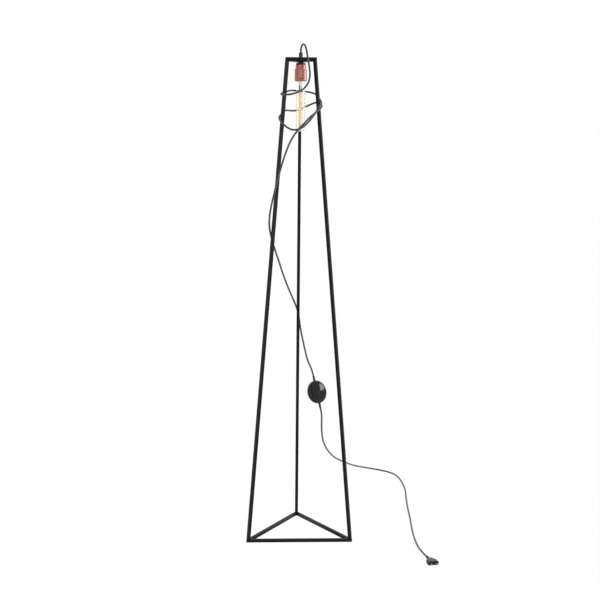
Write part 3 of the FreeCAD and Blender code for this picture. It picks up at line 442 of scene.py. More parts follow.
def white_where_seen(tree, lit, white, share, output):
    """Plain white where the camera looks, also through glass or in a reflection, and lit elsewhere.

    The share is how much of the lit shader the white covers there.
    """
    path = tree.nodes.new("ShaderNodeLightPath")
    seen = math_node(tree, "MAXIMUM", path.outputs["Is Camera Ray"], path.outputs["Is Transmission Ray"])
    seen = math_node(tree, "MAXIMUM", seen, path.outputs["Is Glossy Ray"])
    mix = tree.nodes.new("ShaderNodeMixShader")
    tree.links.new(math_node(tree, "MULTIPLY", seen, share), mix.inputs["Fac"])
    tree.links.new(lit.outputs[0], mix.inputs[1])
    tree.links.new(white.outputs[0], mix.inputs[2])
    tree.links.new(mix.outputs[0], output.inputs["Surface"])


def make_world():
    """Even room: dim where it lights the lamp, white where it is seen."""
    world = bpy.data.worlds.new("room")
    world.use_nodes = True
    tree = world.node_tree
    dim, white = tree.nodes["Background"], tree.nodes.new("ShaderNodeBackground")
    dim.inputs["Strength"].default_value = ROOM_LIGHT
    for background in (dim, white):
        background.inputs["Color"].default_value = PLAIN_WHITE
    white_where_seen(tree, dim, white, 1.0, tree.nodes["World Output"])
    bpy.context.scene.world = world


def make_floor():
    """Wide level sheet just under the lamp that rises into a wall far behind it."""
    course = np.array([[-FLOOR_REACH, FLOOR_LEVEL], [3.0, FLOOR_LEVEL], [4.2, 0.15], [5.0, 0.9], [5.3, 2.2],
                       [5.4, 7.0]])
    across = np.array([-FLOOR_REACH, FLOOR_REACH])
    grid = np.stack(np.broadcast_arrays(across[None, :], course[:, :1], course[:, 1:]), axis=-1)
    floor = surface("floor", grid, sharp_degrees=180.0)
    material, tree, paper, _ = new_finish("paper", (0.92, 0.92, 0.92), 0.9, specular=0.0)
    white = tree.nodes.new("ShaderNodeEmission")
    white_where_seen(tree, paper, white, GROUND_WHITE, tree.nodes["Material Output"])
    floor.data.materials.append(material)


def unit(vector):
    """The same direction with length one."""
    return vector / np.linalg.norm(vector)


def make_lamp(name, at, look_at, size, watts, mirrored):
    """Broad soft lamp aimed at a point, which shiny pieces mirror or don't."""
    data = bpy.data.lights.new(name, "AREA")
    data.shape = "RECTANGLE"
    data.size, data.size_y = size
    data.energy = watts
    lamp = bpy.data.objects.new(name, data)
    back = unit(np.array(at) - np.array(look_at))
    right = unit(np.cross([0.0, 0.0, 1.0], back))
    lamp.matrix_world = standing(right, np.cross(back, right), back, at)
    lamp.visible_glossy = mirrored
    bpy.context.scene.collection.objects.link(lamp)
    return lamp


make_world()
make_floor()
for lamp in LAMPS:
    make_lamp(*lamp)
bpy.context.scene.view_settings.view_transform = "Standard"
print("lamps:", len(LAMPS), "with", sum(lamp[4] for lamp in LAMPS), "watts")

# %% [markdown]
# ## The cord
# A fabric-covered cord, 6 mm thick and limp. It leaves the grip upwards, falls over in a tight loop,
# goes twice round two of the legs and hangs to the switch. From there it runs to the floor behind the
# lamp and comes forward to the plug. Its route is a list of points, in metres, that pull one smooth
# curve, as a hand would lay it. A short straight run on each side of the switch keeps it in line with
# the strain reliefs.

# %% Cord routes
UPPER_ROUTE = [
    (0, AXIS[1], 1.5562), (0, AXIS[1], 1.5668), (0.0026, -0.0555, 1.577), (0.0072, -0.0686, 1.5815),
    (0.0118, -0.081, 1.577), (0.0152, -0.0883, 1.566), (0.0174, -0.0898, 1.552), (0.0206, -0.09, 1.5365),
    (0.025, -0.091, 1.511), (0.028, -0.092, 1.485), (0.023, -0.093, 1.46), (0.008, -0.095, 1.442),
    (-0.011, -0.098, 1.431),
    # close round the left leg, behind the bulb, and close round the right leg
    (-0.033, -0.097, 1.425), (-0.0495, -0.0918, 1.424), (-0.06, -0.0845, 1.425), (-0.0626, -0.0734, 1.427),
    (-0.057, -0.058, 1.4305), (-0.046, -0.03, 1.4355), (-0.03, 0.003, 1.441), (-0.01, 0.023, 1.441),
    (0.01, 0.023, 1.439), (0.029, 0.003, 1.436), (0.045, -0.033, 1.4305), (0.0505, -0.05, 1.4245),
    (0.0545, -0.062, 1.416), (0.062, -0.0703, 1.408), (0.0646, -0.0793, 1.4), (0.0588, -0.0905, 1.3915),
    (0.0505, -0.095, 1.3785), (0.04, -0.098, 1.361), (0.024, -0.101, 1.341), (0.003, -0.1, 1.321),
    (-0.022, -0.099, 1.314),
    # the second time round both legs, a little lower
    (-0.042, -0.097, 1.322), (-0.0535, -0.0965, 1.332), (-0.0643, -0.0912, 1.343), (-0.0692, -0.0798, 1.354),
    (-0.0605, -0.0675, 1.365), (-0.0525, -0.051, 1.374), (-0.046, -0.031, 1.378), (-0.036, -0.008, 1.377),
    (-0.015, 0.025, 1.377), (0.007, 0.03, 1.384), (0.029, 0.008, 1.395), (0.045, -0.03, 1.4015),
    (0.0535, -0.05, 1.4015), (0.061, -0.066, 1.3985), (0.0668, -0.08, 1.3915), (0.062, -0.094, 1.384),
    (0.053, -0.104, 1.376), (0.043, -0.1105, 1.368), (0.028, -0.116, 1.356), (0.01, -0.116, 1.337),
    # the long way down behind the left and the rear leg
    (-0.007, -0.115, 1.319), (-0.021, -0.114, 1.301), (-0.035, -0.112, 1.278), (-0.048, -0.11, 1.244),
    (-0.06, -0.108, 1.207), (-0.073, -0.108, 1.16), (-0.085, -0.109, 1.111), (-0.095, -0.107, 1.067),
    (-0.099, -0.101, 1.032), (-0.097, -0.091, 1.003), (-0.091, -0.08, 0.976), (-0.081, -0.061, 0.941),
    (-0.067, -0.034, 0.899), (-0.051, 0, 0.848), (-0.033, 0.04, 0.799), (-0.015, 0.075, 0.757),
    (0.002, 0.098, 0.712), (0.0098, 0.121, 0.6523), (0.0225, 0.15, 0.593), (0.0365, 0.179, 0.5335)]
LOWER_ROUTE = [
    (0.0895, 0.228, 0.313), (0.0907, 0.25, 0.2675), (0.0984, 0.29, 0.2189), (0.1188, 0.342, 0.1722),
    (0.1464, 0.405, 0.131), (0.1802, 0.474, 0.0984), (0.2162, 0.548, 0.0655), (0.2518, 0.613, 0.0391),
    (0.289, 0.669, 0.0181), (0.3406, 0.6895, 0.004), (0.3844, 0.6529, 0.003), (0.405, 0.5954, 0.003),
    (0.411, 0.5237, 0.003), (0.4128, 0.444, 0.003), (0.4078, 0.377, 0.003), (0.4018, 0.311, 0.003),
    (0.3963, 0.243, 0.003), (0.3913, 0.165, 0.003), (0.3873, 0.083, 0.003), (0.3818, 0.009, 0.003),
    (0.3768, -0.069, 0.003), (0.375, -0.139, 0.003), (0.3754, -0.199, 0.0032), (0.38, -0.261, 0.0065),
    (0.39, -0.309, 0.0065)]
SWITCH_AT = np.array([0.0709, 0.2037, 0.4184])
SWITCH_ALONG = np.array([0.215, 0.16, -0.963])
SWITCH_FACE = np.array([0.05, -0.985, -0.165])
SWITCH_LONG = 0.082
RELIEF_LONG = 0.020
STRAIGHT_RUN = 0.024
CORD_DIA = 0.006

switch_along = unit(SWITCH_ALONG)
switch_face = unit(SWITCH_FACE - switch_along * SWITCH_FACE.dot(switch_along))
switch_across = np.cross(switch_face, switch_along)
switch_tip = switch_along * (SWITCH_LONG / 2.0 + RELIEF_LONG)
switch_past = switch_tip + switch_along * STRAIGHT_RUN
UPPER_ROUTE += [tuple(SWITCH_AT - switch_past), tuple(SWITCH_AT - switch_tip)]
LOWER_ROUTE = [tuple(SWITCH_AT + switch_tip), tuple(SWITCH_AT + switch_past)] + LOWER_ROUTE
print("route points:", len(UPPER_ROUTE), "and", len(LOWER_ROUTE))

# %% [markdown]
# ## From route to tube
# Blender's own spline turns the points into a smooth line. The tube is then worked out round that line
# with a pair of directions that never twist, because a braid that twisted by itself would look wrong
# in every bend. The surface map counts stripes along the cord, so that the braid keeps its size.

# %% Cord tubes
BRAID_PITCH = 0.0052
CORD_STEP = 0.0022
CORD_SIDES = 20


def smooth_line(points, resolution=14):
    """Points of the smooth curve that a list of control points pulls."""
    data = bpy.data.curves.new("route", "CURVE")
    data.dimensions = "3D"
    spline = data.splines.new("NURBS")
    spline.points.add(len(points) - 1)
    spline.points.foreach_set("co", np.array([(*p, 1.0) for p in points]).reshape(-1))
    spline.order_u = 3
    spline.use_endpoint_u = True
    spline.resolution_u = resolution
    holder = bpy.data.objects.new("route", data)
    bpy.context.scene.collection.objects.link(holder)
    mesh = bpy.data.meshes.new_from_object(holder)
    line = np.empty(len(mesh.vertices) * 3)
    mesh.vertices.foreach_get("co", line)
    bpy.data.objects.remove(holder)
    bpy.data.curves.remove(data)
    bpy.data.meshes.remove(mesh)
    return line.reshape(-1, 3)


def evenly(line, step):
    """The same line with points at even distances, and those distances."""
    runs = np.linalg.norm(np.diff(line, axis=0), axis=1)
    along = np.concatenate([[0.0], np.cumsum(runs)])
    count = int(round(along[-1] / step)) + 1
    at = np.linspace(0.0, along[-1], count)
    return np.stack([np.interp(at, along, line[:, axis]) for axis in range(3)], axis=1), at


def carried_frame(line):
    """Two directions across a line, carried along it without twist.

    At each point the last side direction loses what now points along the line: side - way * (side . way).
    """
    way = np.gradient(line, axis=0)
    way /= np.linalg.norm(way, axis=1)[:, None]
    side = np.empty_like(line)
    side[0] = unit(np.cross(way[0], [0.0, 1.0, 0.0]))
    for index in range(1, len(line)):
        side[index] = unit(side[index - 1] - way[index] * side[index - 1].dot(way[index]))
    return side, np.cross(way, side)


def tube_points(line, radius, turn):
    """Grid round a line: centre + radius * (cos a * side + sin a * up) at each angle a."""
    side, up = carried_frame(line)
    ring = np.cos(turn)[None, :, None] * side[:, None] + np.sin(turn)[None, :, None] * up[:, None]
    return line[:, None] + ring * radius


def cord_piece(name, route):
    """Tube round the smooth line of a route, with its surface map, and the line and its length."""
    line, along = evenly(smooth_line(route), CORD_STEP)
    turn = np.linspace(0.0, 2.0 * math.pi, CORD_SIDES + 1)
    uv = np.stack(np.broadcast_arrays(along[:, None] / BRAID_PITCH, turn[None, :] / (2.0 * math.pi)), axis=-1)
    piece = surface(name, tube_points(line, CORD_DIA / 2.0, turn), sharp_degrees=180.0, uv=uv)
    print(name, "length", round(along[-1], 4), "m")
    return piece, line, along[-1]


# %% [markdown]
# ## The braid
# The cover is woven from black and white yarn, so a white stripe winds round the cord between black
# ones. The place in the pattern is the distance along the cord plus the turn round it, and two sets of
# fine threads that cross make the weave, which lifts the surface and puts painted shade in the gaps
# between the threads.

# %% Fabric finish
YARN_BLACK = (0.006, 0.006, 0.0065)
YARN_WHITE = (0.165, 0.163, 0.16)
# heights of the wave between which black turns to white
STRIPE_FROM, STRIPE_TO = 0.0, 0.7
THREADS_ALONG, THREADS_ROUND = 4.5, 16.0
# how dark the painted shade in the gaps between the threads makes the yarn
WEAVE_SHADE_TONE = 0.55


def fabric():
    """Braid: white where sin(2 pi (along + turn)) is high, with threads sin(2 pi (m along +- n turn))."""
    material, tree, shader, _ = new_finish("fabric", (0.3, 0.3, 0.3), 0.85, specular=0.2)
    place = tree.nodes.new("ShaderNodeUVMap")
    place.uv_map = "along"
    split = tree.nodes.new("ShaderNodeSeparateXYZ")
    tree.links.new(place.outputs["UV"], split.inputs["Vector"])
    along, turn = split.outputs["X"], split.outputs["Y"]

    def plus(a, b):
        return math_node(tree, "ADD", a, b)

    def times(a, b):
        return math_node(tree, "MULTIPLY", a, b)

    def wave(turns):
        return math_node(tree, "SINE", times(turns, 2.0 * math.pi))

    wander = times(noise(tree, place.outputs["UV"], scale=1.3, detail=2.0), 0.25)
    stripe_place = math_node(tree, "FRACT", plus(plus(along, turn), wander))
    stripe = ranged(tree, wave(stripe_place), STRIPE_FROM, STRIPE_TO, way="SMOOTHSTEP")
    yarn = mixed(tree, stripe, YARN_BLACK, YARN_WHITE)
    threads_one_way = wave(plus(times(along, THREADS_ALONG), times(turn, THREADS_ROUND)))
    threads_other_way = wave(plus(times(along, THREADS_ALONG), times(turn, -THREADS_ROUND)))
    lift = plus(times(times(threads_one_way, threads_other_way), 0.5), 0.5)
    # painted shade: the yarn darkens in the gaps between the crossing threads
    painted_weave_shade = ranged(tree, lift, 0.0, 1.0, WEAVE_SHADE_TONE, 1.0)
    tree.links.new(mixed(tree, 1.0, yarn, painted_weave_shade, blend="MULTIPLY"), shader.inputs["Base Color"])
    shader.inputs["Sheen Weight"].default_value = 0.25
    bump(tree, shader, lift, height_mm=0.12, strength=0.8)
    return material


braid = fabric()
upper_cord, upper_line, upper_long = cord_piece("upper_cord", UPPER_ROUTE)
lower_cord, lower_line, lower_long = cord_piece("lower_cord", LOWER_ROUTE)
settle(upper_cord, braid, "fabric_cord", "cord_upper")
settle(lower_cord, braid, "fabric_cord", "cord_lower")
finish_nodes(braid, "cord_inner_end")

# %% [markdown]
# ## The steel frame
# Nine bars of square steel, welded and powder coated, and the plate under the top ring. A drawn bar is
# never knife sharp, and the soft line along its edges is what the eye reads as thickness, so each
# gets a small round.

# %% Frame
BAR_EDGE = 0.7
STEEL = ("base_bar_front", "base_bar_right", "base_bar_left", "top_bar_front", "top_bar_right",
         "top_bar_left", "leg_rear", "leg_left", "leg_right", "carrier_plate")
for node in STEEL:
    settle(softened(node, BAR_EDGE), steel_paint, "black_steel", node)
print("steel pieces:", len(STEEL), "with edges rounded by", BAR_EDGE, "mm")

# %% [markdown]
# ## Nipple, nuts and cord grip
# The holder hangs on a short threaded tube. Threads are drawn as rings of the right pitch, because a
# thread's slant is lost at this size while its shine is not.

# %% Suspension
NUT_EDGE = 0.35
SMALL_EDGE = 0.12
# room between the cord and the mouth of its grip
CORD_ROOM = 0.15


def threads(radius, low, high, pitch, depth):
    """Outline of rings: r = radius - depth * (1 - cos(2 pi z / pitch)) / 2."""
    count = max(int((high - low) / pitch), 1)
    z = np.linspace(low, high, count * 4 + 1)
    r = radius - depth * (0.5 - 0.5 * np.cos(2.0 * math.pi * (z - low) / pitch))
    return np.stack([r, z], axis=1)


def node_levels(node):
    """Radius, lowest and highest level of a round solid on the lamp's axis, in mm."""
    low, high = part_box(node)
    return (high[0] - low[0]) / 2.0 / MM, low[2] / MM, high[2] / MM


def make_nipple():
    """Hollow threaded tube, and the two nuts that clamp it to the plate."""
    r, low, top = node_levels("threaded_nipple")
    bore, chamfer, lead_in = 3.6, 0.5, 0.3
    outside = threads(r, low + lead_in, top - lead_in, pitch=1.0, depth=0.45)
    outline = np.vstack([[[bore, low], [r - chamfer, low]], outside, [[r - chamfer, top], [bore, top]]])
    settle(lathe("nipple", outline, 48, closed=True), zinc, "zinc_steel", "threaded_nipple")
    for node in ("upper_nut", "lower_nut"):
        settle(softened(node, NUT_EDGE), steel_paint, "black_steel", node)


def make_grip():
    """Body with a groove round its middle, a domed cap, and a screw in its side."""
    r, low, top = node_levels("cord_grip_body")
    bore, groove = 3.6, 0.35
    outline = rounded([
        (bore, low, 0.1), (r, low, 0.3), (r, low + 4.6, 0.2), (r - groove, low + 4.9, 0.1),
        (r - groove, low + 5.5, 0.1), (r, low + 5.8, 0.2), (r, top, 0.25), (bore, top, 0.1)])
    settle(lathe("grip_body", outline, 64, closed=True), satin_black, "black_plastic", "cord_grip_body")
    r, low, top = node_levels("cord_grip_cap")
    mouth = CORD_DIA / 2.0 / MM + CORD_ROOM
    outline = rounded([(mouth, low, 0.1), (r, low, 0.25), (r, top, 1.5), (mouth + 0.5, top, 0.4),
                       (mouth, top - 0.6, 0.3)])
    settle(lathe("grip_cap", outline, 64, closed=True), satin_black, "black_plastic", "cord_grip_cap")
    settle(softened("cord_grip_screw", SMALL_EDGE), zinc, "zinc_steel", "cord_grip_screw")


make_nipple()
make_grip()
print("grip top at", round(node_levels("cord_grip_cap")[2], 1), "mm")

# %% [markdown]
# ## The copper holder
# Two spun copper cups, one in the other, with a black insulating disc on top. Spun sheet has soft
# shoulders and a rolled mouth. Each profile is drawn once and turned round the axis, and the small
# openings are cut from the lower cup.

# %% Holder
SHEET = 1.0
DISC_BORE = 5.1
SCREW_EDGE = 0.3
BARREL_BORE = 16.7


def make_disc_and_shell():
    """Insulating disc, and the upper cup with one groove pressed round it."""
    r, low, top = node_levels("holder_disc")
    outline = rounded([(DISC_BORE, low, 0.1), (r, low, 0.5), (r, top, 0.9), (DISC_BORE, top, 0.1)])
    settle(lathe("disc", outline, closed=True), satin_black, "black_plastic", "holder_disc")

    r, low, top = node_levels("holder_shell")
    groove = 0.5
    outline = rounded([
        (r - SHEET, low, 0.2), (r, low, 0.2), (r, top - 8.6, 0.3), (r - groove, top - 8.2, 0.3),
        (r - groove, top - 7.4, 0.3), (r, top - 7.0, 0.3), (r, top, 3.0), (DISC_BORE, top, 0.1),
        (DISC_BORE, top - SHEET, 0.1), (r - SHEET, top - SHEET, 2.0)])
    settle(lathe("shell", outline, 128, closed=True), copper, "copper", "holder_shell")
    settle(softened("holder_shell_screw", SCREW_EDGE), steel_paint, "zinc_steel", "holder_shell_screw")


def make_barrel():
    """Lower cup with a rolled mouth, a bead at each end of its wall, and the openings."""
    r, low, top = node_levels("holder_barrel")
    bead = 0.3
    outline = rounded([
        (r - SHEET, low + 1.2, 0.3), (r - 1.9, low + 0.4, 0.4), (r - 1.6, low, 0.5), (r, low, 1.0),
        (r, low + 2.2, 0.3), (r - bead, low + 2.5, 0.2), (r - bead, top - 2.9, 0.4), (r, top - 2.6, 0.3),
        (r, top, 2.4), (BARREL_BORE, top, 0.1), (BARREL_BORE, top - SHEET, 0.1),
        (r - SHEET, top - SHEET, 1.6)])
    barrel = lathe("barrel", outline, 160, closed=True)
    cut_openings(barrel, low)
    settle(barrel, copper, "copper", "holder_barrel")


def cut_openings(barrel, low):
    """Cut the pair of small openings through the front and the back of the barrel."""
    wide, high, apart, up, reach = 4.0, 6.0, 2.2, 2.6, 24.0
    blocks = []
    for side in (-1.0, 1.0):
        middle = side * (wide + apart) / 2.0
        x = np.array([middle - wide / 2.0, middle + wide / 2.0])
        z = np.array([low + up, low + up + high])
        ring = np.array([[x[0], z[0]], [x[1], z[0]], [x[1], z[1]], [x[0], z[1]]])
        y = np.array([-reach, reach])
        grid = np.stack(np.broadcast_arrays(ring[None, :, 0], y[:, None], ring[None, :, 1]), axis=-1)
        block = surface("block", grid * MM + AXIS, wrap_columns=True)
        work = bmesh.new()
        work.from_mesh(block.data)
        bmesh.ops.holes_fill(work, edges=work.edges)
        bmesh.ops.recalc_face_normals(work, faces=work.faces)
        work.to_mesh(block.data)
        work.free()
        cut = barrel.modifiers.new("opening", "BOOLEAN")
        cut.operation = "DIFFERENCE"
        cut.object = block
        blocks.append(block)
    graph = bpy.context.evaluated_depsgraph_get()
    opened = bpy.data.meshes.new_from_object(barrel.evaluated_get(graph))
    barrel.modifiers.clear()
    barrel.data = opened
    shade_smooth(opened, 35.0)
    for block in blocks:
        bpy.data.objects.remove(block)


make_disc_and_shell()
make_barrel()
# the insert's dark red-brown colour is painted shade with a painted copper reflection, where it shows through
# the openings
finish_nodes(porcelain, "porcelain_insert")
finish_nodes(brass, "screw_shell", "centre_contact", "holder_terminals")
finish_nodes(lead_brown, "holder_leads")
print("barrel:", round(2.0 * node_levels("holder_barrel")[0], 1), "mm across")

# %% [markdown]
# ## Glass and glow
# The bulb is clear glass, so everything inside shows: the glass stem, the fine wires and the long
# filament in a cage. It is lit softly. The filament glows amber, and the glass next to it has a thin
# warm painted glow, which also dims what shows through it, as a lit lamp does to the eye.

# %% Bulb finishes
# what the glass lets through under the painted glow, and the painted glow's own tone
PAINTED_GLOW_DIMMING = (0.775, 0.765, 0.740)
PAINTED_GLOW_TONE = (1.0, 0.88, 0.66)
NO_PAINTED_GLOW = (0.0, 0.0, 0.0)
# how far the glass is turned away where its edge tone starts and where it is full
EDGE_FROM, EDGE_TO = 0.22, 0.5
# the painted glow fades from this far over the filament's top to this far under it
PAINTED_GLOW_OVER, PAINTED_GLOW_UNDER = 4.0 * MM, 5.0 * MM


def clear_glass(name, colour, edge, rough, glow=0.0):
    """Clear glass, darker where it is seen edge on, because the way through it is longer.

    With a glow strength it has a warm painted glow next to the filament, and the glass there lets less
    through, as a lit lamp washes out what is behind it.
    """
    material, tree, shader, place = new_finish(name, colour, rough)
    shader.inputs["Transmission Weight"].default_value = 1.0
    shader.inputs["IOR"].default_value = 1.45
    bump(tree, shader, noise(tree, place, scale=40.0, detail=2.0), height_mm=0.03, strength=0.04)
    facing = tree.nodes.new("ShaderNodeLayerWeight")
    facing.inputs["Blend"].default_value = 0.5
    edge_on = ranged(tree, facing.outputs["Facing"], EDGE_FROM, EDGE_TO)
    if not glow:
        tint(tree, shader, edge_on, colour, edge)
        return material
    filament_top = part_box("bulb_filament")[1][2]
    height = tree.nodes.new("ShaderNodeSeparateXYZ")
    tree.links.new(place, height.inputs["Vector"])
    # painted glow: next to the filament the glass gives off a warm tone and lets less through
    painted_glow_mask = ranged(tree, height.outputs["Z"], filament_top + PAINTED_GLOW_OVER, filament_top - PAINTED_GLOW_UNDER)
    dimmed_under_painted_glow = mixed(tree, edge_on, tuple(c * t for c, t in zip(colour, PAINTED_GLOW_DIMMING)), edge)
    tint(tree, shader, painted_glow_mask, colour, dimmed_under_painted_glow)
    tree.links.new(mixed(tree, painted_glow_mask, NO_PAINTED_GLOW, PAINTED_GLOW_TONE), shader.inputs["Emission Color"])
    shader.inputs["Emission Strength"].default_value = glow
    return material


def glowing(name, colour, dark, light, strength):
    """Hot wire, whose glow wanders a little between two tones along its length."""
    material, tree, shader, place = new_finish(name, colour, 0.5)
    shader.inputs["Emission Strength"].default_value = strength
    cloud = noise(tree, place, scale=120.0, detail=2.0)
    tree.links.new(mixed(tree, cloud, dark, light), shader.inputs["Emission Color"])
    return material


# the bulb's glass carries a painted glow next to the filament
glass = clear_glass("bulb_glass_with_painted_glow", (0.998, 0.988, 0.955), (0.56, 0.54, 0.48), 0.06, glow=0.12)
stem_glass = clear_glass("stem_glass", (0.90, 0.92, 0.90), (0.55, 0.57, 0.56), 0.08)
wire = spun_metal("lamp_wire", (0.35, 0.33, 0.30), (0.55, 0.53, 0.50), 0.3, 0.45)
hot = glowing("filament", (0.35, 0.16, 0.04), (0.80, 0.44, 0.17), (0.92, 0.57, 0.28), 0.9)
black_glass = moulded("black_glass", (0.03, 0.025, 0.05), 0.1, 0.2)

# %% [markdown]
# ## The bulb
# One outline makes the whole tube, up its outside and down its inside, so that the glass has a true
# wall and bends light as glass does. The cap is threaded, and the filament is one fine wire that runs
# up and down between the hooks of its cage.

# %% Bulb pieces
GLASS_WALL = 0.8
NECK = 12.2
TIP_ROUND = 0.97
CAP_THREAD = {"pitch": 3.63, "depth": 0.9}
CAP_TURNS = 4
CAP_SHEET = 0.5


def make_glass():
    """Tube with a round tip and a shoulder that draws in to the neck."""
    r, tip, neck_top = node_levels("bulb_glass")
    _, cap_low, _ = node_levels("bulb_cap")
    r_in, neck_in = r - GLASS_WALL, NECK - GLASS_WALL
    outer = [(0, tip, 0), (r, tip, r * TIP_ROUND), (r, cap_low - 6.2, 5.0), (NECK, cap_low - 0.4, 2.0),
             (NECK, neck_top, 0.3)]
    inner = [(neck_in, neck_top, 0.3), (neck_in, cap_low - 0.6, 2.0), (r_in, cap_low - 6.4, 5.0),
             (r_in, tip + GLASS_WALL, r_in * TIP_ROUND), (0, tip + GLASS_WALL, 0)]
    outline = rounded(outer + inner, closed=False, steps=14)
    settle(lathe("glass_tube", outline, sharp_degrees=60.0), glass, "clear_glass", "bulb_glass", body="bulb")
    finish_nodes(stem_glass, "bulb_stem")


def make_cap():
    """Thin brass cap: a plain skirt, the thread, and a cone in to the contact."""
    r, low, top = node_levels("bulb_cap")
    thread_low = low + 3.4
    body = threads(r, thread_low, thread_low + CAP_THREAD["pitch"] * CAP_TURNS, **CAP_THREAD)
    outline = np.vstack([
        [[r - 0.5, low], [r - 0.05, low], [r - 0.05, low + 2.8]], body,
        [[r - 1.2, top - 3.0], [9.0, top], [8.5, top], [r - 1.7, top - 3.2]],
        body[::-1] - [CAP_SHEET, 0.0]])
    settle(lathe("cap", outline, closed=True, sharp_degrees=60.0), brass, "brass", "bulb_cap", body="bulb")
    finish_nodes(black_glass, "bulb_insulator")
    finish_nodes(zinc, "bulb_contact")


def make_filament():
    """One wire that runs up and down between the hooks of the cage."""
    low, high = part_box("bulb_filament")
    cage, strands, inset, step, wire_radius = 6.0 * MM, 8, 0.4 * MM, 1.5 * MM, 0.35 * MM
    strand = np.arange(strands)
    corner = 2.0 * math.pi * (strand + 0.5) / strands
    level = np.where(strand % 2 == 0, high[2] - inset, low[2] + inset)
    points = np.stack([cage * np.cos(corner), cage * np.sin(corner) + AXIS[1], level], axis=1)
    line, along = evenly(points, step)
    filament = surface("filament_wire", tube_points(line, wire_radius, full_turn(8)), wrap_columns=True,
                       sharp_degrees=180.0)
    settle(filament, hot, "filament", "bulb_filament", body="bulb")
    finish_nodes(wire, "bulb_support_wires")
    print("filament wire:", round(along[-1], 3), "m")


make_glass()
make_cap()
make_filament()

# %% [markdown]
# ## The foot switch
# A glossy black dome in two moulded halves, with a round push button in its middle. Its outline is
# an oval. The surface is a profile swept round that oval, worked out in the switch's own directions
# and then turned into place.

# %% Switch
SWITCH_SIDE, SWITCH_LONGER = 33.0, 16.0
SEAM, UNDERSIDE, CROWN, DOME_RADIUS = -5.0, -8.0, 17.0, 52.0
BUTTON_HOLE, BUTTON_RADIUS, BUTTON_FLANGE = 11.3, 11.0, 12.6
BUTTON_LOW, FLANGE_TOP, BUTTON_FACE = 8.7, 10.7, 19.0


def placed(points, origin, x_way, y_way, z_way):
    """Turn local points (mm) into place: origin + x * x_way + y * y_way + z * z_way."""
    return np.asarray(origin) + (points * MM) @ np.stack([x_way, y_way, z_way])


def oval(outline, longer, round_to, sides=96):
    """Sweep an (r, z) outline round an oval: x = (r + extra) cos t and y = r sin t.

    The extra length grows from nothing at the radius round_to, so that a round hole stays round, to
    half of what the oval is longer than wide.
    """
    turn = full_turn(sides)
    full_at = outline[:, 0].max() * 0.8
    share = np.clip((outline[:, :1] - round_to) / (full_at - round_to), 0.0, 1.0)
    x = (outline[:, :1] + share * longer / 2.0) * np.cos(turn)
    y = outline[:, :1] * np.sin(turn)
    return np.stack([x, y, outline[:, 1:] + 0.0 * turn], axis=-1)


def switch_piece(name, outline, longer, round_to, node, wrap_rows=False, body="stand"):
    """Glossy piece of the switch, swept round and turned into place."""
    grid = placed(oval(outline, longer, round_to), SWITCH_AT, switch_along, switch_across, switch_face)
    piece = surface(name, grid, wrap_rows=wrap_rows, wrap_columns=True)
    return settle(piece, gloss_black, "gloss_plastic", node, body=body)


def make_cover():
    """Upper half: a rounded edge, a shallow dome, a ring round the button's hole, and the inner wall."""
    side, seam_gap = SWITCH_SIDE, SEAM + 0.2
    r = np.linspace(side - 7.0, BUTTON_HOLE + 0.1, 24)
    dome = np.stack([r, CROWN - DOME_RADIUS + np.sqrt(DOME_RADIUS ** 2 - r ** 2)], axis=1)
    edge = rounded([(side - 2.0, seam_gap, 0.1), (side - 0.35, seam_gap, 0.3), (side, SEAM + 1.0, 0.5),
                    (side, 6.9, 8.5), (dome[0, 0], dome[0, 1], 0.0)], closed=False, steps=10)
    inside = np.array([[BUTTON_HOLE, dome[-1, 1] - 0.1], [BUTTON_HOLE, 11.4], [side - 12.0, 11.2],
                       [side - 2.0, 0.5]])
    return switch_piece("switch_dome", np.vstack([edge, dome[1:], inside]), SWITCH_LONGER, BUTTON_HOLE,
                        "switch_cover", wrap_rows=True)


def make_under():
    """Lower half: flat below, with its edge rounded up to the seam."""
    outline = rounded([(0, UNDERSIDE, 0), (SWITCH_SIDE, UNDERSIDE, 2.2), (SWITCH_SIDE, SEAM, 0.4),
                       (0, SEAM, 0)], closed=False)
    return switch_piece("switch_under", outline, SWITCH_LONGER, 0.0, "switch_base")


def make_button():
    """Round button with a flange that keeps it in, and a face that is slightly crowned."""
    outline = rounded([(0, BUTTON_LOW, 0), (BUTTON_FLANGE, BUTTON_LOW, 0.2), (BUTTON_FLANGE, FLANGE_TOP, 0.2),
                       (BUTTON_RADIUS, FLANGE_TOP, 0.1), (BUTTON_RADIUS, BUTTON_FACE - 0.6, 1.2),
                       (6.0, BUTTON_FACE - 0.15, 6.0), (0, BUTTON_FACE, 0)], closed=False)
    return switch_piece("push_button", outline, 0.0, 0.0, "switch_button", body="button")


switch_dome, switch_under, push_button = make_cover(), make_under(), make_button()
finish_nodes(brass, "switch_bridge", "switch_contacts")
finish_nodes(zinc, "switch_spring", "switch_screws")
print("switch:", 2.0 * SWITCH_SIDE, "by", 2.0 * SWITCH_SIDE + SWITCH_LONGER, "mm")

# %% [markdown]
# ## Strain reliefs
# Soft rings guide the cord where it goes into the switch, so that it can't kink there. Each relief is an
# outline along the cord that is turned round it, with a groove between each pair of rings.

# %% Reliefs
RING_DEPTH = 0.7
RELIEF_SINK = 2.0


def taper_piece(name, origin, way, across, up, outline, node):
    """Ringed strain relief: an outline of (distance along, radius) turned round the cord."""
    outline = rounded(outline, closed=False, steps=4)
    along, r = outline[:, :1], outline[:, 1:]
    turn = full_turn(40)
    grid = np.stack([along + 0.0 * turn, r * np.cos(turn), r * np.sin(turn)], axis=-1)
    piece = surface(name, placed(grid, origin, way, across, up), wrap_columns=True)
    return settle(piece, soft_black, "soft_black", node)


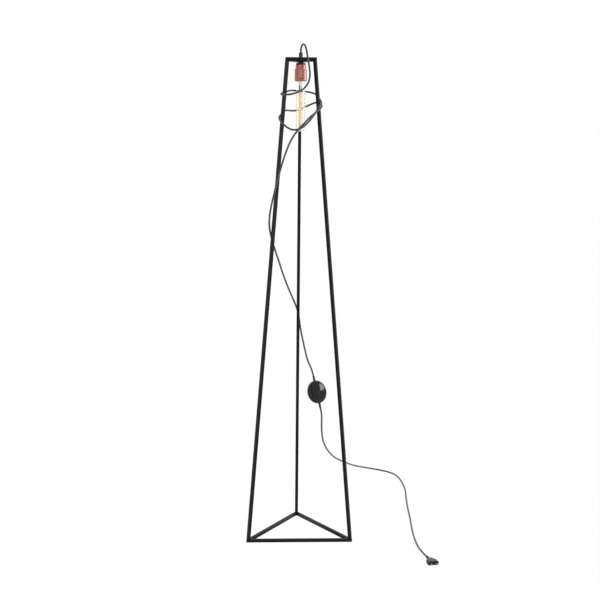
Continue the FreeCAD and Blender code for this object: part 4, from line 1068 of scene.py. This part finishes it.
def relief_outline(root, tip_r, root_r, long, rings):
    """Outline of a tapered relief with a groove between each pair of rings."""
    outline = [(root, 0.0, 0), (root, root_r, 0.3)]
    end, step = root + long, long / rings
    for ring in range(rings):
        near = root + 2.0 + ring * step
        far = near + 1.0
        r = root_r + (tip_r - root_r) * (ring + 0.5) / rings
        if far + 1.0 < end:
            outline += [(near, r, 0.2), (near + 0.2, r - RING_DEPTH, 0.1),
                        (far, r - RING_DEPTH - 0.05, 0.1), (far + 0.2, r - 0.1, 0.2)]
    return outline + [(end, tip_r, 0.4), (end, 0.0, 0)]


relief = relief_outline(SWITCH_LONG / 2.0 / MM - RELIEF_SINK, 3.6, 4.5, RELIEF_LONG / MM + RELIEF_SINK, 4)
relief_upper = taper_piece("relief_upper", SWITCH_AT, -switch_along, -switch_across, switch_face, relief,
                           "switch_relief_upper")
relief_lower = taper_piece("relief_lower", SWITCH_AT, switch_along, switch_across, switch_face, relief,
                           "switch_relief_lower")
print("reliefs:", RELIEF_LONG / MM, "mm long")

# %% [markdown]
# ## A window for the gloss
# Glossy black plastic looks flat until it mirrors something bright. A window stands to the right of the
# viewer, and light linking shows it to the switch alone, so that the copper keeps its even tone.

# %% Window
window = make_lamp("window", (1.85, -1.75, 0.55), tuple(SWITCH_AT), (1.2, 1.2), 48.0, True)
window.visible_diffuse = False
mirroring = bpy.data.collections.new("mirrors_the_window")
mirroring.objects.link(switch_dome)
mirroring.objects.link(push_button)
window.light_linking.receiver_collection = mirroring

# %% [markdown]
# ## The plug
# A small flat two-pin plug, lying on the floor at the end of the cord. The plan outline swells from
# the cord to the face, and its long edges are well rounded.

# %% Plug
PLUG_REAR, PLUG_FACE, PLUG_THICK = 24.0, 60.0, 13.0
PLUG_NARROW, PLUG_WIDE, SWELL_LONG = 7.0, 17.6, 22.0
PLUG_EDGE = 1.2
SQUARENESS = 0.42


def make_plug():
    """Body from rings y = w |cos t|^p, z = h |sin t|^p with their signs, and its ringed neck.

    The half width w swells along the body by a sine, and both halves draw in at its two ends.
    """
    last, before = np.array(LOWER_ROUTE[-1]), np.array(LOWER_ROUTE[-2])
    way = unit((last - before) * [1.0, 1.0, 0.0])
    up = np.array([0.0, 0.0, 1.0])
    across = np.cross(up, way)
    x = np.concatenate([np.linspace(PLUG_REAR, PLUG_REAR + 3.0, 7),
                        np.linspace(PLUG_REAR + 4.0, PLUG_FACE - 1.0, 26),
                        np.linspace(PLUG_FACE - 0.8, PLUG_FACE, 5)])
    swell = np.clip((x - PLUG_REAR) / SWELL_LONG, 0.0, 1.0)
    half = PLUG_NARROW + (PLUG_WIDE - PLUG_NARROW) * np.sin(swell * math.pi / 2.0) ** 1.2
    close = np.minimum(np.clip((x - PLUG_REAR) / 1.5, 0.0, 1.0), np.clip((PLUG_FACE - x) / 0.8, 0.0, 1.0))
    inset = PLUG_EDGE * (1.0 - np.sqrt(np.clip(1.0 - (1.0 - close) ** 2, 0.0, 1.0)))
    # one more ring at each end shrinks to a point and closes it
    x = np.pad(x, 1, mode="edge")[:, None]
    half_wide, half_high = (np.pad(size - inset, 1)[:, None] for size in (half, PLUG_THICK / 2.0))
    turn = full_turn(64)
    ring_y = np.sign(np.cos(turn)) * np.abs(np.cos(turn)) ** SQUARENESS
    ring_z = np.sign(np.sin(turn)) * np.abs(np.sin(turn)) ** SQUARENESS
    grid = np.stack([x + 0.0 * turn, half_wide * ring_y, half_high * ring_z], axis=-1)
    body = surface("plug_shell", placed(grid, last, way, across, up), wrap_columns=True, sharp_degrees=50.0)
    settle(body, gloss_black, "gloss_plastic", "plug_body")
    neck_outline = relief_outline(0.0, 5.2, 3.9, PLUG_REAR, 5)
    neck = taper_piece("plug_neck", last, way, across, up, neck_outline, "plug_relief")
    finish_nodes(zinc, "plug_pins")
    return body, neck


plug_shell, plug_neck = make_plug()
print("plug:", PLUG_FACE - PLUG_REAR, "mm long,", 2.0 * PLUG_WIDE, "mm wide")

# %% [markdown]
# ## The cords' lengths
# The length of each cord is printed.

print("cords:", round(upper_long, 3), "m and", round(lower_long, 3), "m")
